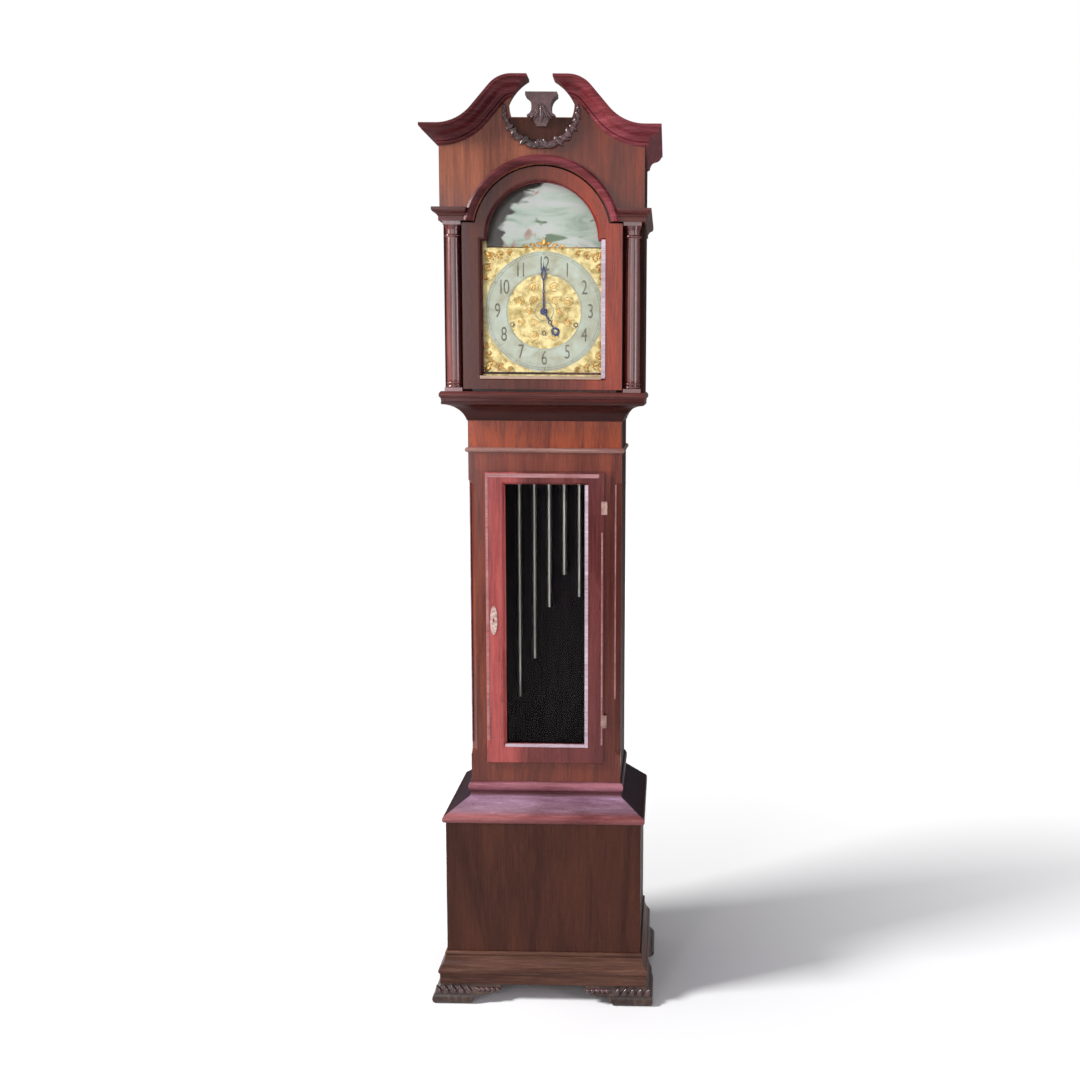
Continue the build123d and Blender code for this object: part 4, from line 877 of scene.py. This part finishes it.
crest = bmesh.new()
crest_scrolls = (
    (0.012, 1.914, 0.007, 0.6), (0.028, 1.912, 0.006, 0.2), (0.045, 1.910, 0.0045, 0.0)
)
for side in (-1, 1):
    for number, (x, z, size, bend) in enumerate(crest_scrolls):
        start = bend if side > 0 else pi - bend
        scroll(crest, (side * x, z), size, start, side * 4.6, 0.0017, dial_y - 0.0025)
        lean = side * (0.5 + 0.3 * number)
        leaf(crest, side * x, z + 0.004, dial_y - 0.003, 0.013, 0.006, lean)
leaf(crest, 0, 1.923, dial_y - 0.003, 0.022, 0.012, 0, 0.003)
bar = Matrix.Translation((0, dial_y - 0.0012, 1.9092)) @ Matrix.Diagonal((0.28, 0.0012, 0.0022, 1))
bmesh.ops.create_cube(crest, size=1, matrix=bar)
make_piece("dial_crest", crest, cast_gilt, "case")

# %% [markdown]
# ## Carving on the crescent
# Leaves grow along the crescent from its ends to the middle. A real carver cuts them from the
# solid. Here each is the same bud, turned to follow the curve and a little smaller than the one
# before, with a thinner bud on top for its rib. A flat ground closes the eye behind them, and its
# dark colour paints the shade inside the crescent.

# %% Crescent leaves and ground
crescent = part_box("carved_crescent")
carving_y, board_y = crescent[0].y, crescent[1].y
crescent_z, crescent_radius = 2.2265, 0.0865
carving = bmesh.new()
for side in (-1, 1):
    for step in range(9):
        angle = radians(8 + step * 10.2)
        radius = crescent_radius + 0.0022 * (step % 2)
        x = side * radius * sin(angle)
        z = crescent_z - radius * cos(angle)
        lean = side * (pi / 2 - angle) + side * (0.45 if step % 2 else -0.3)
        length, width = 0.036 - 0.002 * step, 0.017 - 0.001 * step
        leaf(carving, x, z, carving_y + 0.001, length, width, -lean + pi, 0.0062)
        leaf(carving, x, z, carving_y - 0.003, 0.028 - 0.0016 * step, 0.004, -lean + pi, 0.0036)
middle_buds = ((0, 2.146, 0.024, 0), (-0.009, 2.148, 0.02, 0.5), (0.009, 2.148, 0.02, -0.5))
for x, z, length, lean in middle_buds:
    leaf(carving, x, z, carving_y - 0.001, length, 0.009, lean, 0.004)
make_piece("crescent_leaves", carving, carved_wood, "hood")

# The dark ground paints the shade inside the crescent.
recess = bmesh.new()
facing = seen_from_front(0, board_y - 0.0006, crescent_z)
bmesh.ops.create_circle(recess, segments=64, radius=0.0855, cap_ends=True, matrix=facing)
bmesh.ops.bisect_plane(
    recess, geom=recess.verts[:] + recess.edges[:] + recess.faces[:],
    plane_co=(0, 0, 2.204), plane_no=(0, 0, 1), clear_outer=True,
)
bmesh.ops.solidify(recess, geom=recess.faces[:], thickness=0.0005)
make_piece("crescent_ground", recess, base_wood, "hood", smooth=False)

# %% [markdown]
# ## Leaf on the plinth
# The little plinth in the eye of the pediment carries one broad leaf. It reads as five lobes
# that fan out from one root, so it is five buds side by side, each with its rib, rather than
# one blade with a cut outline.

# %% Plinth leaf
plinth_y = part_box("finial_plinth")[0].y
lobes = (
    (0, 2.214, 0.05, 0.018, 0),
    (-0.010, 2.216, 0.042, 0.012, 0.35),
    (0.010, 2.216, 0.042, 0.012, -0.35),
    (-0.017, 2.210, 0.03, 0.010, 0.7),
    (0.017, 2.210, 0.03, 0.010, -0.7),
)
plinth_leaf = bmesh.new()
for x, z, length, width, lean in lobes:
    leaf(plinth_leaf, x, z, plinth_y + 0.001, length, width, pi + lean, 0.005)
    leaf(plinth_leaf, x, z, plinth_y - 0.003, length * 0.8, width * 0.25, pi + lean, 0.003)
make_piece("plinth_leaves", plinth_leaf, carved_wood, "hood")

# %% [markdown]
# ## Carved feet
# Each front foot is carved as a paw, with a leaf that runs inwards along the plinth. Two rows
# of rounded buds are the toes, a row that shrinks towards its tip is the leaf, and four
# knuckles turn the corner. Cutting them into the bracket would need booleans, so they stand
# on it, and stay inside the outline of the whole clock.

# %% Toes, leaves and knuckles
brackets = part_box("bracket_feet")
foot_front, foot_side = brackets[0].y, brackets[1].x
knuckle_size = Matrix.Diagonal((0.0078, 0.0088, 0.0135, 1))
feet = bmesh.new()
for side in (-1, 1):
    for toe in range(5):
        x = side * (foot_side - 0.018 - 0.0195 * toe)
        leaf(feet, x, 0.0145, foot_front + 0.0085, 0.027, 0.0175, 0.12 * side, 0.0078)
        x += 0.004 * side
        leaf(feet, x, 0.031, foot_front + 0.0122, 0.030, 0.018, 0.35 * side, 0.011)
    for bud in range(5):
        x = side * (foot_side - 0.116 - 0.0125 * bud)
        length = 0.021 - 0.0014 * bud
        leaf(feet, x, 0.0345, foot_front + 0.0150, length, 0.013, 1.1 * side, 0.0105)
    for knuckle in range(4):
        y = foot_front + 0.022 + 0.021 * knuckle
        place = Matrix.Translation((side * (foot_side - 0.0085), y, 0.0145)) @ knuckle_size
        bmesh.ops.create_uvsphere(feet, u_segments=10, v_segments=7, radius=1.0, matrix=place)
make_piece("foot_carving", feet, carved_wood, "case")

# %% [markdown]
# ## Slips round the hood glass
# A slim wooden slip holds the glass of the hood door. On the left and round the arch it is a bead,
# and on the right and below it is flat and pale. The bead could be bent from a cylinder, but a
# curve with a round profile follows its line exactly, and is then made a mesh. Below the glass a
# gilt sill closes the dial mask.


# %% Hood slips and sill
def swept(name, points, radius, finish, body):
    """A thin round bead along a list of points, made a mesh with its place inside it."""
    line = bpy.data.curves.new(name, "CURVE")
    line.dimensions = "3D"
    run = line.splines.new("POLY")
    run.points.add(len(points) - 1)
    for point, place in zip(run.points, points):
        point.co = (*place, 1)
    line.bevel_depth = radius
    line.bevel_resolution = 2
    line.use_fill_caps = True
    holder = bpy.data.objects.new(name, line)
    mesh = bpy.data.meshes.new_from_object(holder)
    bpy.data.objects.remove(holder)
    shape = bmesh.new()
    shape.from_mesh(mesh)
    make_piece(name, shape, finish, body)


slip_y, bead_radius, bead_arch = -0.1185, 0.0022, 0.1355
spring_z, jamb_x, spring_x = 1.9225, 0.1485, 0.1362
bead = [(jamb_x, slip_y, spring_z), (spring_x, slip_y, spring_z)]
for degrees in range(3, 178, 5):
    angle = radians(degrees)
    bead.append((bead_arch * cos(angle), slip_y, arch_z + bead_arch * sin(angle)))
bead += [(-spring_x, slip_y, spring_z), (-jamb_x, slip_y, spring_z), (-jamb_x, slip_y, 1.5945)]
swept("hood_door_slip", bead, bead_radius, neck_wood, "hood_door")

sill_z = 1.594
slip_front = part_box("hood_door_frame")[0].y - veneer_depth
slip_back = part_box("hood_door_frame")[0].y + 0.006
mask_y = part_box("dial_mask")[0].y
veneer(
    "hood_jamb_slip", (0.1425, slip_front, sill_z), (0.1525, slip_back, arch_z),
    pale_slip_and_highlight_wood, "hood_door",
)
veneer(
    "hood_sill_slip", (-0.1525, slip_front, sill_z - 0.003), (0.142, slip_back, sill_z + 0.0045),
    tan_wood, "hood_door",
)
veneer(
    "mask_sill", (-0.152, mask_y - veneer_depth, sill_z - 0.004), (0.152, mask_y, sill_z + 0.0085),
    gilt, "hood",
)

# %% [markdown]
# ## Slips and painted highlights of the trunk
# A bevelled slip frames the trunk door's glass, and pale strips on the arrises of the door and on
# the chamfers are painted highlights, where these polished edges catch the light. The highlights
# could be a mask that finds edges, but it would find all of them alike. Here each is a thin strip
# of its own, placed from the box of the door, and only the left slip is a bead in the door's own
# wood.

# %% Slips and painted highlights on the arrises
near, beyond = door
strip_front = near.y - 0.0007
glass_low, glass_high, glass_half = 0.6615, 1.3285, 0.1015
slips = (
    ("right", glass_half - 0.001, glass_low - 0.009, glass_half + 0.0075, glass_high + 0.001),
    ("bottom", -glass_half - 0.001, glass_low - 0.0085, glass_half - 0.0015, glass_low - 0.001),
)
arrises = (
    ("top", near.x + 0.002, beyond.z - 0.013, beyond.x - 0.014, beyond.z - 0.003),
    ("left", near.x + 0.0015, near.z + 0.06, near.x + 0.0075, beyond.z - 0.014),
    ("right", beyond.x - 0.008, near.z + 0.05, beyond.x - 0.004, beyond.z - 0.15),
)
# The slips are pale, and the arris strips are painted highlights on the door's edges.
for kind, finish, depth, strips in (
    ("slip", pale_slip_and_highlight_wood, 0.004, slips), ("arris", painted_highlight_wood, 0.003, arrises)
):
    for edge, x_low, z_low, x_high, z_high in strips:
        low, high = (x_low, strip_front, z_low), (x_high, near.y + depth, z_high)
        veneer(f"door_{kind}_{edge}", low, high, finish, "trunk_door")
left_bead = [(-glass_half, near.y + 0.006, z) for z in (glass_low, glass_high)]
swept("door_slip_left", left_bead, 0.0024, trunk_door_wood, "trunk_door")

# Painted highlights along the trunk's two chamfers.
front_low, front_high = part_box("trunk_front_frame")
veneer(
    "chamfer_highlight_left",
    (front_low.x - 0.0002, front_low.y + 0.0085, 0.66),
    (front_low.x + 0.002, front_low.y + 0.0125, 1.33),
    pale_slip_and_highlight_wood, "case",
)
veneer(
    "chamfer_highlight_right",
    (front_high.x - 0.0165, front_low.y - veneer_depth, 0.78),
    (front_high.x - 0.013, front_low.y + 0.002, 1.33),
    painted_highlight_wood, "case",
)

# %% [markdown]
# ## Floor
# The clock stands on white with its shadow beside it. A floor that the lamps make white would
# need far more light than the clock can bear. So the camera sees some light of the floor's
# own: none near the clock, where the shadow lies, and full white from a few metres on.


# %% Pale floor
def pale(name, glow_from, glow_full):
    """A pale ground, lifted to white for the camera between two distances."""
    finish, tree, shader = new_finish(name)
    shader.inputs["Base Color"].default_value = (0.86, 0.86, 0.86, 1)
    shader.inputs["Roughness"].default_value = 0.9
    path = add_node(tree, "ShaderNodeLightPath")
    glow = add_node(tree, "ShaderNodeEmission", Color=(1, 1, 1, 1))
    place = add_node(tree, "ShaderNodeTexCoord")
    apart = add_node(tree, "ShaderNodeVectorMath", operation="LENGTH")
    far = add_node(tree, "ShaderNodeMapRange", From_Min=glow_from, From_Max=glow_full)
    both = add_node(tree, "ShaderNodeAddShader")
    pick = add_node(tree, "ShaderNodeMixShader")
    tree.links.new(place.outputs["Object"], apart.inputs[0])
    tree.links.new(apart.outputs["Value"], far.inputs["Value"])
    tree.links.new(far.outputs["Result"], glow.inputs["Strength"])
    tree.links.new(shader.outputs["BSDF"], both.inputs[0])
    tree.links.new(glow.outputs["Emission"], both.inputs[1])
    tree.links.new(path.outputs["Is Camera Ray"], pick.inputs["Fac"])
    tree.links.new(shader.outputs["BSDF"], pick.inputs[1])
    tree.links.new(both.outputs["Shader"], pick.inputs[2])
    tree.links.new(pick.outputs["Shader"], tree.nodes["Material Output"].inputs["Surface"])
    return finish


ground = bmesh.new()
bmesh.ops.create_grid(ground, x_segments=1, y_segments=1, size=14)
floor_mesh = bpy.data.meshes.new("floor")
ground.to_mesh(floor_mesh)
ground.free()
floor_mesh.materials.append(pale("pale_floor", glow_from=0.3, glow_full=3.4))
floor = bpy.data.objects.new("floor", floor_mesh)
bpy.context.scene.collection.objects.link(floor)
print("floor size:", [round(v, 2) for v in floor.dimensions])

# %% [markdown]
# ## Backdrop
# Above the floor the camera looks at the world, which is white to it. Polished wood and metal
# mirror it too. For them it is white in front of the clock and dim behind it, as in a room
# with one window, or the side boards would turn grey. To all other rays it is a faint even
# light. The light path tells these rays apart.

# %% World
world = bpy.data.worlds.new("studio")
bpy.context.scene.world = world
world.use_nodes = True
room_tree = world.node_tree
faint = room_tree.nodes["Background"]
faint.inputs["Color"].default_value = (1, 1, 1, 1)
faint.inputs["Strength"].default_value = 0.2
shown = add_node(room_tree, "ShaderNodeBackground", Color=(1, 1, 1, 1))
heading = add_node(room_tree, "ShaderNodeTexCoord")
parts = add_node(room_tree, "ShaderNodeSeparateXYZ")
room = add_node(
    room_tree, "ShaderNodeMapRange", From_Min=-0.3, From_Max=0.5, To_Min=1.0, To_Max=0.12
)
seen = add_node(room_tree, "ShaderNodeMath", operation="MAXIMUM")
either = add_node(room_tree, "ShaderNodeMath", operation="MAXIMUM")
ray = add_node(room_tree, "ShaderNodeLightPath")
choose = add_node(room_tree, "ShaderNodeMixShader")
for output, socket in (
    (heading.outputs["Generated"], parts.inputs["Vector"]),
    (parts.outputs["Y"], room.inputs["Value"]),
    (ray.outputs["Is Camera Ray"], seen.inputs[0]),
    (room.outputs["Result"], seen.inputs[1]),
    (seen.outputs["Value"], shown.inputs["Strength"]),
    (ray.outputs["Is Camera Ray"], either.inputs[0]),
    (ray.outputs["Is Glossy Ray"], either.inputs[1]),
    (either.outputs["Value"], choose.inputs["Fac"]),
    (faint.outputs["Background"], choose.inputs[1]),
    (shown.outputs["Background"], choose.inputs[2]),
    (choose.outputs["Shader"], room_tree.nodes["World Output"].inputs["Surface"]),
):
    room_tree.links.new(output, socket)
print("world nodes:", len(room_tree.nodes))

# %% [markdown]
# ## Lamps
# A key lamp high on the left throws the shadow to the right, as in the photograph. It is
# small for its distance, so the shadow keeps an edge. A large weak lamp in front fills the
# dial, and two tall strips stand for windows: columns and polished boards show them as
# upright lines of light. A sun lamp would give the shadow too, but no such lines.


# %% Key, front and strips
def soft_lamp(name, place, target, size, power, tint=white):
    """A soft lamp, wide by high, that looks at a point."""
    data = bpy.data.lights.new(name, "AREA")
    data.shape = "RECTANGLE"
    data.size, data.size_y = size
    data.energy = power
    data.color = tint
    lamp = bpy.data.objects.new(name, data)
    lamp.location = place
    lamp.rotation_euler = (Vector(target) - Vector(place)).to_track_quat("-Z", "Y").to_euler()
    bpy.context.scene.collection.objects.link(lamp)


soft_lamp("key", (-3.0, -1.05, 3.1), (0, 0, 0.9), (0.9, 0.9), 235)
soft_lamp("front", (0.4, -4.2, 2.2), (0, 0, 1.1), (1.8, 1.8), 16, (1, 0.98, 0.97))
soft_lamp("right_strip", (2.4, -1.7, 1.3), (0, 0, 1.2), (0.7, 2.2), 26, (0.9, 0.86, 1))
soft_lamp("left_strip", (-0.95, -2.9, 1.5), (0, 0, 1.3), (0.45, 2.0), 14, (0.96, 0.9, 1))
